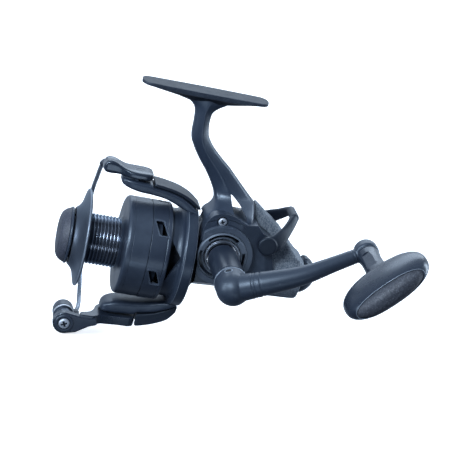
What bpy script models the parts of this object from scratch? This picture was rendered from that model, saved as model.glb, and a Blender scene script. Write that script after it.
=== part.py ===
"""Front-drag spinning reel with a rear freespool, as an assembly of its pieces.

Working coordinates are millimetres: X along the spool axis (front is -X), -Y towards the
handle, +Z towards the foot, with the zero on the spool axis below the handle axis. The
root empty carries these to the part's own frame, whose origin is the centre of the foot's
top face.
"""

import math

import bmesh
import bpy
from mathutils import Matrix, Vector

MM = 0.001

# ---- driving dimensions, mm ------------------------------------------------------------
FOOT_LENGTH = 68.0
FOOT_WIDTH = 15.6
FOOT_X = -24.6  # foot centre along the spool axis
FOOT_TOP = 92.8  # foot's top face above the spool axis
HANDLE_Z = 10.5  # handle axis above the spool axis
CASE_Y = 19.5  # half width of the gear case on the handle side
FAR_Y = 17.0  # and on the far side
BOSS_Y = 22.3  # outer face of the round boss on the handle side
FAR_BOSS_Y = 19.2  # and on the far side
GAP = 0.3

LIP_R = 26.5
SKIRT_R = 26.8
ARBOR_R = 13.6
DRUM_R = 24.2
RING_R = 28.5
PIVOT_X = -50.0  # bail pivots on the rotor arms
ROLLER = (-73.9, -45.8)  # line roller axis, x and z
STROKE = 6.0  # spool travel each way from rest

GEAR_TEETH, PINION_TEETH = 42, 8
GEAR_R = 16.5  # mean radius of the face teeth
OSC_SMALL, OSC_LARGE = 12, 20
OSC_MODULE = 1.1

KNUCKLE_Y = -65.5
ARM_END = (62.3, 42.2)  # knob spindle axis, x and z
KNOB_Y = -108.5
KNOB_TILT = 47.5  # degrees of the paddle's long axis above +X
LEVER = (23.5, 19.7)  # freespool lever pivot, x and z
LEVER_BAR = (37.8, 33.2)  # freespool lever cross bar, x and z

ORIGIN = Vector((FOOT_X, 0.0, FOOT_TOP))

# ---- scene -----------------------------------------------------------------------------
for old in list(bpy.data.objects):
    bpy.data.objects.remove(old, do_unlink=True)


def new_collection(name):
    made = bpy.data.collections.new(name)
    bpy.context.scene.collection.children.link(made)
    return made


PARTS = new_collection("spinning_reel")
CUTTERS = new_collection("cutters")
AT = {}


def pivot(name, at=(0, 0, 0), parent=None):
    made = bpy.data.objects.new(name, None)
    made.empty_display_size = 0.01
    PARTS.objects.link(made)
    AT[name] = Vector(at)
    if parent:
        made.parent = parent
        made.location = (AT[name] - AT[parent.name]) * MM
    else:
        made.location = (AT[name] - ORIGIN) * MM
    return made


ROOT = pivot("reel_frame")
HANDLE = pivot("handle_axis", (0, 0, HANDLE_Z), ROOT)
KNOB = pivot("knob_axis", (ARM_END[0], KNOB_Y, ARM_END[1]), HANDLE)
ROTOR = pivot("rotor_axis", (0, 0, 0), ROOT)
BAIL = pivot("bail_axis", (PIVOT_X, 0, 0), ROTOR)
LINE = pivot("line_roller_axis", (ROLLER[0], 0, ROLLER[1]), BAIL)
OSC_ANGLE = math.radians(-20.3)
OSC_DISTANCE = OSC_MODULE * (OSC_SMALL + OSC_LARGE) / 2
OSC_X = OSC_DISTANCE * math.cos(OSC_ANGLE)
OSC_Z = HANDLE_Z + OSC_DISTANCE * math.sin(OSC_ANGLE)
OSC = pivot("oscillation_axis", (OSC_X, 0, OSC_Z), ROOT)
SLIDE = pivot("crosshead_slide", (0, 0, 0), ROOT)
SHAFT = pivot("shaft_axis", (0, 0, 0), SLIDE)
SPOOL = pivot("spool_axis", (0, 0, 0), SHAFT)
DRAG = pivot("drag_axis", (0, 0, 0), SHAFT)
REAR = pivot("tension_axis", (0, 0, 0), ROOT)
FREE = pivot("lever_axis", (LEVER[0], 0, LEVER[1]), ROOT)


def material(name, colour, roughness, metallic):
    made = bpy.data.materials.new(name)
    made.use_nodes = True
    shader = made.node_tree.nodes["Principled BSDF"]
    shader.inputs["Base Color"].default_value = (*colour, 1)
    shader.inputs["Roughness"].default_value = roughness
    shader.inputs["Metallic"].default_value = metallic
    return made


BLACK = material("satin_black", (0.018, 0.022, 0.03), 0.42, 0.0)
GRAPHITE = material("graphite_paint", (0.03, 0.037, 0.05), 0.36, 0.2)
GRAIN = material("grained_cover", (0.07, 0.08, 0.095), 0.6, 0.1)
RUBBER = material("soft_rubber", (0.02, 0.02, 0.024), 0.85, 0.0)
ANODISED = material("anodised_black", (0.025, 0.03, 0.042), 0.3, 0.85)
STEEL = material("steel", (0.62, 0.63, 0.65), 0.28, 1.0)
BRASS = material("brass", (0.72, 0.55, 0.24), 0.3, 1.0)
ALLOY = material("alloy", (0.68, 0.69, 0.71), 0.35, 1.0)
FELT = material("drag_felt", (0.16, 0.14, 0.12), 0.95, 0.0)


# ---- modelling helpers -----------------------------------------------------------------
def link(name, mesh, look, on, at=(0, 0, 0), turn=(0, 0, 0), cutter=False):
    made = bpy.data.objects.new(name, mesh)
    (CUTTERS if cutter else PARTS).objects.link(made)
    made.parent = on
    made.location = (Vector(at) - AT[on.name]) * MM
    made.rotation_euler = turn
    if cutter:
        made.hide_render = True
        made.display_type = "WIRE"
    elif look:
        mesh.materials.append(look)
    return made


AXIS_TURN = {
    "X": (0, math.pi / 2, 0),
    "Y": (-math.pi / 2, 0, 0),
    "Z": (0, 0, 0),
}


def turned(name, profile, axis, look, on, at=(0, 0, 0), steps=32, cutter=False):
    """Profile of (radius, distance along the axis), turned about the axis through at."""
    points = list(profile)
    area = sum(
        a[0] * b[1] - b[0] * a[1] for a, b in zip(points, points[1:] + points[:1])
    )
    if area > 0:
        points.reverse()
    mesh = bpy.data.meshes.new(name)
    on_axis = points[0][0] == 0 and points[-1][0] == 0
    edges = [(i, i + 1) for i in range(len(points) - 1)]
    if not on_axis:
        edges.append((len(points) - 1, 0))
    mesh.from_pydata([(r * MM, 0, a * MM) for r, a in points], edges, [])
    made = link(name, mesh, look, on, at, AXIS_TURN[axis], cutter)
    screw = made.modifiers.new("turn", "SCREW")
    screw.axis = "Z"
    screw.angle = 2 * math.pi
    screw.steps = screw.render_steps = steps
    screw.use_merge_vertices = True
    screw.merge_threshold = 1e-6
    return made


def ring(name, inner, outer, low, high, axis, look, on, at=(0, 0, 0), steps=16, cutter=False):
    return turned(
        name, [(inner, low), (outer, low), (outer, high), (inner, high)],
        axis, look, on, at, steps, cutter,
    )


def rod(name, radius, low, high, axis, look, on, at=(0, 0, 0), steps=16, cutter=False):
    return turned(
        name, [(0, low), (radius, low), (radius, high), (0, high)],
        axis, look, on, at, steps, cutter,
    )


PLANES = {
    "XZ": Matrix(((1, 0, 0), (0, 0, -1), (0, 1, 0))).to_4x4(),
    "XY": Matrix.Identity(4),
    "YZ": Matrix(((0, 0, 1), (1, 0, 0), (0, 1, 0))).to_4x4(),
}
NORMAL = {"XZ": Vector((0, 1, 0)), "XY": Vector((0, 0, 1)), "YZ": Vector((1, 0, 0))}


def solid_from(curve_object, move=None):
    """Mesh of an evaluated curve with its caps welded on."""
    bpy.context.view_layer.update()
    graph = bpy.context.evaluated_depsgraph_get()
    mesh = bpy.data.meshes.new_from_object(curve_object.evaluated_get(graph))
    bpy.data.objects.remove(curve_object, do_unlink=True)
    work = bmesh.new()
    work.from_mesh(mesh)
    bmesh.ops.remove_doubles(work, verts=work.verts, dist=1e-6)
    bmesh.ops.recalc_face_normals(work, faces=work.faces)
    if move:
        work.transform(move)
    work.to_mesh(mesh)
    work.free()
    mesh.materials.clear()
    return mesh


def prism(name, outline, plane, low, high, look, on, bevel=0.0, cutter=False, segments=2):
    """Flat outline in the named plane, from low to high along the plane's normal."""
    curve = bpy.data.curves.new(name, "CURVE")
    curve.dimensions = "2D"
    curve.fill_mode = "BOTH"
    curve.extrude = (high - low) / 2 * MM
    spline = curve.splines.new("POLY")
    spline.points.add(len(outline) - 1)
    for point, (u, v) in zip(spline.points, outline):
        point.co = (u * MM, v * MM, 0, 1)
    spline.use_cyclic_u = True
    flat = bpy.data.objects.new(name + "_outline", curve)
    PARTS.objects.link(flat)
    move = Matrix.Translation(NORMAL[plane] * (low + high) / 2 * MM) @ PLANES[plane]
    mesh = solid_from(flat, Matrix.Translation(-AT[on.name] * MM) @ move)
    mesh.name = name
    made = link(name, mesh, look, on, AT[on.name], cutter=cutter)
    if bevel:
        edge = made.modifiers.new("soft_edges", "BEVEL")
        edge.width = bevel * MM
        edge.segments = segments
        edge.limit_method = "ANGLE"
        edge.angle_limit = math.radians(50)
    return made


def block(name, low, high, look, on, bevel=0.0, cutter=False):
    corners = [(low[0], low[2]), (high[0], low[2]), (high[0], high[2]), (low[0], high[2])]
    return prism(name, corners, "XZ", low[1], high[1], look, on, bevel, cutter)


def smooth_path(points, per_span=6):
    """Points along a Catmull-Rom curve through the given ones, of any dimension."""
    held = [points[0]] + list(points) + [points[-1]]
    path = []
    for a, b, c, d in zip(held, held[1:], held[2:], held[3:]):
        for step in range(per_span):
            t = step / per_span
            path.append(
                tuple(
                    0.5 * (
                        2 * q + (r - p) * t + (2 * p - 5 * q + 4 * r - s) * t * t
                        + (3 * q - p - 3 * r + s) * t ** 3
                    )
                    for p, q, r, s in zip(a, b, c, d)
                )
            )
    path.append(tuple(points[-1]))
    return path


def tube(name, points, look, on, cutter=False, sides=2):
    """Round bar through (x, y, z, radius) points."""
    curve = bpy.data.curves.new(name, "CURVE")
    curve.dimensions = "3D"
    curve.bevel_depth = MM
    curve.bevel_resolution = sides
    curve.use_fill_caps = True
    spline = curve.splines.new("POLY")
    spline.points.add(len(points) - 1)
    for point, (x, y, z, radius) in zip(spline.points, points):
        point.co = (x * MM, y * MM, z * MM, 1)
        point.radius = radius
    line = bpy.data.objects.new(name + "_line", curve)
    PARTS.objects.link(line)
    mesh = solid_from(line, Matrix.Translation(-AT[on.name] * MM))
    mesh.name = name
    return link(name, mesh, look, on, AT[on.name], cutter=cutter)


def ball(name, centre, radii, look, on, turn=0.0, cutter=False, across=24, rings=14):
    """Stretched sphere, its X axis turned by degrees about Y."""
    mesh = bpy.data.meshes.new(name)
    work = bmesh.new()
    bmesh.ops.create_uvsphere(work, u_segments=across, v_segments=rings, radius=MM)
    work.transform(
        Matrix.Rotation(math.radians(-turn), 4, "Y")
        @ Matrix.Diagonal((*radii, 1))
    )
    work.to_mesh(mesh)
    work.free()
    return link(name, mesh, look, on, centre, cutter=cutter)


def carve(target, *others, how="DIFFERENCE", solver="EXACT"):
    for other in others:
        modifier = target.modifiers.new(how.lower() + "_" + other.name, "BOOLEAN")
        modifier.operation = how
        modifier.object = other
        modifier.solver = solver
    return target


def weld(target, *others):
    return carve(target, *others, how="UNION")


def arc(centre, radius, start, end, count):
    return [
        (
            centre[0] + radius * math.cos(math.radians(start + (end - start) * i / count)),
            centre[1] + radius * math.sin(math.radians(start + (end - start) * i / count)),
        )
        for i in range(count + 1)
    ]


def half_space(name, point, normal, on):
    """Block that fills the far side of a plane, for slicing."""
    mesh = bpy.data.meshes.new(name)
    work = bmesh.new()
    bmesh.ops.create_cube(work, size=1.0)
    work.transform(
        Vector(normal).to_track_quat("Z", "Y").to_matrix().to_4x4()
        @ Matrix.Diagonal((0.2, 0.2, 0.06, 1)) @ Matrix.Translation((0, 0, 0.5))
    )
    work.to_mesh(mesh)
    work.free()
    return link(name, mesh, None, on, point, cutter=True)


def soften(made):
    mesh = made.data
    for face in mesh.polygons:
        face.use_smooth = True
    mesh.set_sharp_from_angle(angle=math.radians(40))


# ---- body: gear case, stem and foot ----------------------------------------------------
AXLE = (0.0, HANDLE_Z)
# rear seam of the handle-side cover, which runs under the freespool lever
SEAM = [(16.4, 29.4), (20.3, 25.4), (25.5, 23.0), (27.6, 19.4), (28.2, 14.4), (31.0, 5.0), (32.6, -4.0), (33.2, -13.6)]
COVER_TOP = arc(AXLE, 21.2, 122, 57, 8)
COVER_OUTLINE = [(-10.6, -13.6)] + [(-10.6, 26.5)] + COVER_TOP[1:] + SEAM
CASE_INSIDE = (
    [(-9.0, -11.6), (-9.0, 25.0)] + arc(AXLE, 18.7, 118, 55, 8)
    + [(15.2, 26.5), (23.5, 22.4), (25.6, 18.8), (26.2, 13.8), (28.8, 4.6), (30.4, -4.0), (30.9, -11.6)]
)


def taper_wedge(name, side, on, inset=0.0):
    """Slices the case's flank so that it narrows towards the tail."""
    y0, y1 = (CASE_Y - inset) * side, (11.6 - inset) * side
    outline = [(8.0, y0), (52.0, y1), (52.0, 30 * side), (8.0, 30 * side)]
    if side > 0:
        outline.reverse()
    return prism(name, outline, "XY", -20, 45, None, on, cutter=True)


def keel(name, side, rise=0.0):
    """Slope under the case and tail, on one side; rise moves it up into the wall."""
    return half_space(name, (0, 6.0 * side, -13.5 + rise), (0.068, 0.5 * side, -1.0), ROOT)


def brow(name, height):
    """Slope in front of the stem, which leaves the finger gap clear."""
    return half_space(name, (-10.9, 0, height), (-1.26, 0.602, 1.0), ROOT)


def roof(name, height):
    """Fall of the case's top towards the far side."""
    return half_space(name, (0, 0, height), (0, 0.335, 1.0), ROOT)


case = prism("body_housing", COVER_OUTLINE, "XZ", 0.0, FAR_Y, GRAPHITE, ROOT)
carve(
    case, taper_wedge("case_taper_far", 1, ROOT), keel("case_keel_far", 1), brow("case_brow", 24.0),
    roof("case_roof", 31.7),
)

STEM_FRONT = [
    (-36.5, 88.9), (-33.0, 86.2), (-30.0, 84.8), (-28.1, 82.0), (-27.6, 75.4), (-27.4, 69.8),
    (-26.5, 65.5), (-22.9, 59.3), (-19.2, 54.3), (-15.1, 49.4), (-11.5, 44.4), (-8.5, 40.2), (-6.6, 36.5),
]
STEM_REAR = [
    (15.0, 36.6), (11.9, 39.6), (4.7, 46.4), (-2.4, 53.2), (-9.3, 58.9), (-16.2, 66.2),
    (-17.6, 68.9), (-18.6, 72.7), (-19.0, 78.2), (-18.5, 82.0), (-15.4, 84.9), (-12.0, 86.3), (-9.0, 88.9),
]
stem = prism(
    "stem_block", STEM_FRONT + arc(AXLE, 22.3, 105, 64, 4) + [(15.3, 31.0)] + STEM_REAR,
    "XZ", -5.8, 5.8, None, ROOT, cutter=True,
)


def stem_root(name, floor, near, far, inset):
    """Foot of the stem where it spreads over the gear case."""
    return prism(
        name,
        [(-5.3 + inset, 33.4), (-6.0 + inset, 36.4), (-8.0 + inset, 40.2), (-10.4 + inset, 43.4), (7.2, 43.4), (11.4 - inset, 39.4),
         (14.6 - inset, 35.6), (15.0 - inset, 30.8)]
        + arc(AXLE, floor, 60, 103, 5),
        "XZ", near, far, None, ROOT, cutter=True,
    )


root = stem_root("stem_root", 21.8, -12.5, 6.6, 0.0)
carve(root, half_space("root_flare", (0, -12.6, 33.6), (0, -10.4, 7.2), ROOT))
weld(case, stem_root("stem_root_far", 20.3, 0.9, 6.2, 0.7), root, stem)


def foot_outline():
    """Plan of the foot: flanks that swell at the middle, and round ends."""
    half, width, end = FOOT_LENGTH / 2, FOOT_WIDTH / 2, 5.0
    side = []
    for way in (1, -1):
        for step in range(9):
            angle = math.radians(-90 + 180 * step / 8) + (0 if way > 0 else math.pi)
            side.append((FOOT_X + way * (half - end) + end * math.cos(angle), (width - 1.0) * math.sin(angle)))
        side.append((FOOT_X, way * width))
    return side


foot = prism("foot_plate", foot_outline(), "XY", FOOT_TOP - 3.4, FOOT_TOP, None, ROOT, bevel=0.5, cutter=True, segments=1)
foot_web = prism(
    "foot_web",
    [(FOOT_X - 26, FOOT_TOP - 3.0), (FOOT_X - 14, FOOT_TOP - 4.9), (FOOT_X - 7, FOOT_TOP - 6.6), (FOOT_X + 7, FOOT_TOP - 6.6),
     (FOOT_X + 15, FOOT_TOP - 5.4), (FOOT_X + 26, FOOT_TOP - 3.0), (FOOT_X + 26, FOOT_TOP - 1.2), (FOOT_X - 26, FOOT_TOP - 1.2)],
    "XZ", -6.4, 6.4, None, ROOT, cutter=True,
)
tail = block("case_tail", (29.0, 0.4, -10.4), (46.5, 9.8, 8.9), None, ROOT, cutter=True)
carve(tail, keel("tail_keel_far", 1, 1.9))
tail_wide = block("case_tail_wide", (34.6, -9.6, -10.2), (46.3, 5.0, 8.7), None, ROOT, cutter=True)
carve(tail_wide, keel("tail_keel_near", -1, 1.9), keel("tail_keel_mid", 1, 2.1))
weld(case, foot_web, foot, tail, tail_wide)
weld(case, rod("case_far_boss", 10.5, 15.9, FAR_BOSS_Y, "Y", None, ROOT, (0, 0, HANDLE_Z), 28, True))

cavity = prism("case_cavity", CASE_INSIDE, "XZ", -1.0, 14.9, None, ROOT, cutter=True)
carve(
    cavity, taper_wedge("cavity_taper_far", 1, ROOT, 2.3), keel("cavity_keel_far", 1, 2.3), brow("cavity_brow_far", 20.9),
    roof("cavity_roof", 29.4),
)
carve(cavity, rod("far_bearing_seat", 11.4, 12.2, 18.0, "Y", None, ROOT, (0, 0, HANDLE_Z), 20, True))
carve(cavity, block("guide_rib", (7.4, -9.0, -14.0), (9.8, 22.0, -6.2), None, ROOT, cutter=True))
tail_cavity = block("tail_cavity", (24.0, -7.8, -9.4), (44.0, 7.8, 7.6), None, ROOT, cutter=True)
carve(tail_cavity, keel("tail_cavity_keel_far", 1, 3.1), keel("tail_cavity_keel_near", -1, 3.1))
carve(
    case,
    cavity,
    block("case_front_mouth", (-14, -30, -9.0), (-8.0, 11.5, 15.0), None, ROOT, cutter=True),
    tail_cavity,
    prism(
        "stem_window", [(-0.1, 41.1), (1.5, 35.5), (3.4, 29.9), (10.4, 29.9), (9.6, 32.0), (5.5, 36.7), (2.2, 39.4)],
        "XZ", -25, 25, None, ROOT, cutter=True,
    ),
    rod("axle_bore_far", 9.3, 9.0, 26.0, "Y", None, ROOT, (0, 0, HANDLE_Z), 24, True),
    rod("tension_bore", 3.9, 43.0, 55.0, "X", None, ROOT, steps=16, cutter=True),
    solver="MANIFOLD",
)
LEVER_BORE = rod("lever_bore", 2.3, -30.0, 30.0, "Y", None, ROOT, (LEVER[0], 0, LEVER[1]), 12, True)
carve(case, LEVER_BORE, solver="MANIFOLD")
GUIDE = (0, 1.6, -6.5)
carve(case, rod("guide_hole", 1.35, 6.0, 12.0, "X", None, ROOT, GUIDE, 12, True), solver="MANIFOLD")
rod("guide_rod", 1.0, 7.6, 43.6, "X", STEEL, ROOT, GUIDE, 12)

# handle-side cover with its boss, bearing seat and screw posts
cover = prism("side_cover", COVER_OUTLINE, "XZ", -CASE_Y, -GAP, GRAPHITE, ROOT)
carve(cover, taper_wedge("case_taper_near", -1, ROOT), keel("cover_keel", -1), brow("cover_brow", 25.9))
weld(cover, prism("cover_boss", arc(AXLE, 16.6, -136, 136, 26), "XZ", -BOSS_Y, -18.3, None, ROOT, cutter=True))
hollow = prism("cover_cavity", CASE_INSIDE, "XZ", -17.4, 1.0, None, ROOT, cutter=True)
carve(hollow, taper_wedge("cavity_taper_near", -1, ROOT, 2.3), keel("cavity_keel_near", -1, 2.3), brow("cavity_brow_near", 24.3))
carve(hollow, rod("near_bearing_seat", 11.8, -20.0, -14.8, "Y", None, ROOT, (0, 0, HANDLE_Z), 20, True))
SCREWS = {"cover_screw_top": (-3.3, 28.6), "cover_screw_rear": (26.4, -1.6), "cover_screw_front": (14.2, -3.2)}
POST_END = -9.9
for name, (x, z) in SCREWS.items():
    carve(hollow, rod(name + "_post", 2.9, -20.0, POST_END, "Y", None, ROOT, (x, 0, z), 12, True))
carve(
    cover,
    hollow,
    block("cover_front_mouth", (-14, -9.6, -9.5), (-8.0, -3.0, 26.8), None, ROOT, cutter=True),
    block("cover_pinion_mouth", (-14.2, -4.0, -9.3), (-7.8, 2.2, 15.0), None, ROOT, cutter=True),
    block("cover_rear_mouth", (24.0, -8.8, -8.6), (40.0, 2.0, 9.6), None, ROOT, cutter=True),
    turned(
        "cover_axle_bore", [(0, -26.0), (13.7, -26.0), (13.7, -20.4), (9.3, -20.4), (9.3, -13.0), (0, -13.0)],
        "Y", None, ROOT, (0, 0, HANDLE_Z), 30, True,
    ),
    LEVER_BORE,
    solver="MANIFOLD",
)
for name, (x, z) in SCREWS.items():
    face = -CASE_Y if x < 8 else -(CASE_Y - (x - 8) * (CASE_Y - 11.6) / 44)
    carve(cover, turned(
        name + "_bore",
        [(0, face - 5), (2.9, face - 5), (2.9, face + 0.9), (1.5, face + 0.9), (1.5, POST_END - 0.6), (0, POST_END - 0.6)],
        "Y", None, ROOT, (x, 0, z), 12, True,
    ), solver="MANIFOLD")
    turned(
        name,
        [(0, face + 0.2), (1.2, face + 0.2), (1.2, face - 0.9), (2.3, face - 0.8), (2.6, face - 0.3), (2.6, face + 0.6),
         (1.2, face + 0.6), (1.2, POST_END - 0.9), (0, POST_END - 0.9)],
        "Y", STEEL, ROOT, (x, 0, z), 12,
    )

# three-window cap that holds the near bearing
cap = turned(
    "side_bearing_cap",
    [(9.9, -22.9), (10.9, -23.3), (12.6, -23.3), (13.4, -22.9), (13.4, -20.7), (9.9, -20.7)],
    "Y", BLACK, ROOT, (0, 0, HANDLE_Z), 24,
)
for index, middle in enumerate((95, 215, 335)):
    outer = arc(AXLE, 12.5, middle - 44, middle + 44, 6)
    inner = arc(AXLE, 10.8, middle + 44, middle - 44, 6)
    carve(cap, prism(f"cap_window_{index}", outer + inner, "XZ", -26, -21.5, None, ROOT, cutter=True))
turned(
    "handle_socket_cap",
    [(0, 17.4), (8.9, 17.4), (8.9, 19.6), (10.2, 19.6), (10.2, 20.9), (9.3, 21.8), (0, 22.2)],
    "Y", BLACK, ROOT, (0, 0, HANDLE_Z), 18,
)

# bearings of the drive axle
ring("drive_bearing_near", 5.25, 9.0, -19.6, -15.6, "Y", STEEL, ROOT, (0, 0, HANDLE_Z), 18)
ring("drive_bearing_far", 5.25, 9.0, 13.0, 17.0, "Y", STEEL, ROOT, (0, 0, HANDLE_Z), 18)

# nose: carries the rotor's bearing and the one-way clutch, inside the rotor
nose = turned(
    "nose_housing",
    [(5.3, -19.0), (5.3, -11.0), (17.6, -11.0), (17.6, -14.0), (24.6, -14.0), (24.6, -17.2), (20.6, -17.2), (20.6, -21.2), (16.8, -21.2), (16.8, -33.2),
     (13.8, -33.2), (13.8, -23.2), (8.6, -23.2), (8.6, -19.0)],
    "X", GRAPHITE, ROOT, steps=22,
)
carve(nose, rod("gear_pocket", 19.0, -9.3, 0.4, "Y", None, ROOT, (0, 0, HANDLE_Z), 24, True))
ring("pinion_bearing", 4.3, 8.3, -22.7, -19.4, "X", STEEL, ROOT, steps=18)
ring("clutch_housing", 6.9, 13.4, -32.6, -23.5, "X", ALLOY, ROOT, steps=20)

# rear cover: grained shell round the tail, with a fin up the back of the stem
rear = prism(
    "rear_cover",
    [(15.6, 36.5), (20.4, 32.8), (27.1, 28.4), (33.5, 23.7), (38.2, 18.9), (43.8, 13.6), (48.8, 9.6), (49.6, 8.4), (49.6, -10.4),
     (48.2, -12.2), (33.9, -13.2), (33.2, -4.0), (31.6, 5.2), (28.8, 14.6), (28.2, 19.6), (26.0, 23.6), (20.8, 25.9), (16.9, 30.0)],
    "XZ", -15.6, 15.6, GRAIN, ROOT,
)
carve(
    rear, taper_wedge("rear_taper_near", -1, ROOT), taper_wedge("rear_taper_far", 1, ROOT),
    keel("rear_keel_near", -1), keel("rear_keel_far", 1),
)
for side in (-1, 1):
    flank = [(11.4 * side, 9.0), (4.2 * side, 37.0), (30 * side, 45.0), (30 * side, 9.0)]
    if side > 0:
        flank.reverse()
    carve(rear, prism("fin_taper_near" if side < 0 else "fin_taper_far", flank, "YZ", 10, 60, None, ROOT, cutter=True))
rear_pocket = block("rear_pocket", (25.0, -10.2, -11.0), (46.9, 10.2, 9.3), None, ROOT, cutter=True)
carve(rear_pocket, keel("pocket_keel_near", -1, 1.5), keel("pocket_keel_far", 1, 1.5))
carve(
    rear,
    rear_pocket,
    rod("rear_cover_bore", 3.9, 43.0, 60.0, "X", None, ROOT, steps=20, cutter=True),
)

# rear tension stack inside the tail
ring("tension_plate", 2.0, 5.1, 38.6, 40.1, "X", STEEL, ROOT)
ring("tension_felt", 2.0, 5.1, 40.4, 42.1, "X", FELT, ROOT)

# ---- rear tension knob -----------------------------------------------------------------
rear_knob = turned(
    "rear_tension_knob",
    [(0, 42.5), (3.5, 42.5), (3.5, 49.9), (9.8, 49.9), (10.5, 50.5), (10.3, 52.0), (9.2, 53.8), (7.7, 55.6), (5.8, 57.1), (3.2, 58.0), (0, 58.3)],
    "X", BLACK, REAR, steps=18,
)
for index in range(6):
    angle = math.radians(60 * index + 20)
    carve(
        rear_knob,
        rod(f"knob_flute_{index}", 1.2, 50.3, 56.5, "X", None, REAR, (0, 11.0 * math.cos(angle), 11.0 * math.sin(angle)), 8, True),
    )

# ---- freespool lever -------------------------------------------------------------------
lever = tube(
    "freespool_lever",
    smooth_path([
        (LEVER[0], -19.7, LEVER[1], 2.0), (26.2, -19.5, 20.9, 2.0), (29.0, -17.6, 22.6, 2.0), (32.0, -12.8, 25.7, 2.2),
        (35.4, -8.0, 29.3, 2.2), (LEVER_BAR[0], -5.5, LEVER_BAR[1], 2.5), (LEVER_BAR[0], 5.5, LEVER_BAR[1], 2.5), (35.4, 8.0, 29.3, 2.2),
        (32.0, 12.8, 25.7, 2.2), (29.0, 17.6, 22.6, 2.0), (26.2, 19.5, 20.9, 2.0), (LEVER[0], 19.7, LEVER[1], 2.0),
    ], 2),
    BLACK, FREE,
)
for label, low, high in (("near", -21.4, -18.1), ("far", 18.1, 21.4)):
    weld(lever, rod("lever_disc_" + label, 5.2, low, high, "Y", None, FREE, (LEVER[0], 0, LEVER[1]), 18, True))
carve(lever, rod("lever_shaft_hole", 2.25, -20.2, 20.2, "Y", None, FREE, (LEVER[0], 0, LEVER[1]), 12, True))
rod("lever_shaft", 1.95, -19.8, 19.8, "Y", STEEL, FREE, (LEVER[0], 0, LEVER[1]), 12)

# ---- drive: gear, axle, handle ---------------------------------------------------------
gear = turned(
    "drive_gear",
    [(0, -19.8), (4.9, -19.8), (4.9, -8.5), (18.2, -8.5), (18.2, -5.2), (4.9, -5.2), (4.9, 16.8), (0, 16.8)],
    "Y", ALLOY, HANDLE, (0, 0, HANDLE_Z), 21,
)
MESH_X = -math.sqrt(GEAR_R ** 2 - HANDLE_Z ** 2)  # where the pinion meets the face teeth
MESH_ANGLE = math.atan2(-HANDLE_Z, MESH_X)
HELIX = math.asin(HANDLE_Z / GEAR_R)
PINION_R = GEAR_R * PINION_TEETH / (GEAR_TEETH * math.cos(HELIX))
PITCH = 2 * math.pi * GEAR_R / GEAR_TEETH


def face_teeth():
    work = bmesh.new()
    for index in range(GEAR_TEETH):
        angle = MESH_ANGLE + (index + 0.5) * 2 * math.pi / GEAR_TEETH
        made = bmesh.ops.create_cube(work, size=2.0)["verts"]
        for vert in made:
            radius = 16.4 + 1.7 * vert.co.x
            tip = vert.co.z > 0
            half = (0.12 if tip else 0.21) * PITCH * radius / GEAR_R
            y = -3.55 if tip else -5.5
            across = half * vert.co.y
            vert.co = Vector((
                (radius * math.cos(angle) - across * math.sin(angle)) * MM,
                y * MM,
                (radius * math.sin(angle) + across * math.cos(angle)) * MM,
            ))
        bmesh.ops.recalc_face_normals(work, faces=list({f for v in made for f in v.link_faces}))
    mesh = bpy.data.meshes.new("face_teeth")
    work.to_mesh(mesh)
    work.free()
    return link("face_teeth", mesh, None, HANDLE, (0, 0, HANDLE_Z), cutter=True)


def spur_outline(count, centre, phase, share=0.17):
    """Outline of a spur gear with straight-sided teeth; the first tooth points at phase."""
    pitch_r = OSC_MODULE * count / 2
    step = 2 * math.pi / count
    outline = []
    for index in range(count):
        middle = phase + index * step
        for radius, half in ((pitch_r - 1.1, 0.27), (pitch_r + 0.85, share - 0.06), (pitch_r + 0.85, -(share - 0.06)), (pitch_r - 1.1, -0.27)):
            angle = middle - half * step
            outline.append((centre[0] + radius * math.cos(angle), centre[1] + radius * math.sin(angle)))
    return outline


weld(gear, face_teeth())
osc_drive = prism("osc_drive_teeth", spur_outline(OSC_SMALL, AXLE, OSC_ANGLE), "XZ", 6.5, 9.5, None, HANDLE, cutter=True)
weld(gear, osc_drive)
carve(gear, rod("axle_through_bore", 2.9, -25, 25, "Y", None, HANDLE, (0, 0, HANDLE_Z), 16, True))

shank = turned(
    "handle_shank",
    [(0, 16.0), (2.55, 16.0), (2.55, -24.4), (8.0, -25.0), (8.0, -57.2), (3.9, -57.2), (3.9, -64.0), (0, -64.0)],
    "Y", BLACK, HANDLE, (0, 0, HANDLE_Z), 20,
)
PIN_TURN = math.radians(115)
pin_dir = Vector((math.cos(PIN_TURN), 0, math.sin(PIN_TURN)))


def pin_bar(name, radius, reach, look, cutter):
    ends = [Vector((0, -61.2, HANDLE_Z)) + pin_dir * s for s in (-reach, reach)]
    return tube(name, [(*p, radius) for p in ends], look, HANDLE, cutter=cutter, sides=3)


carve(shank, pin_bar("pin_hole_shank", 1.75, 12, None, True))
ring("shank_collar", 8.35, 9.6, -24.9, -22.6, "Y", ALLOY, HANDLE, (0, 0, HANDLE_Z), 20)

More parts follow.
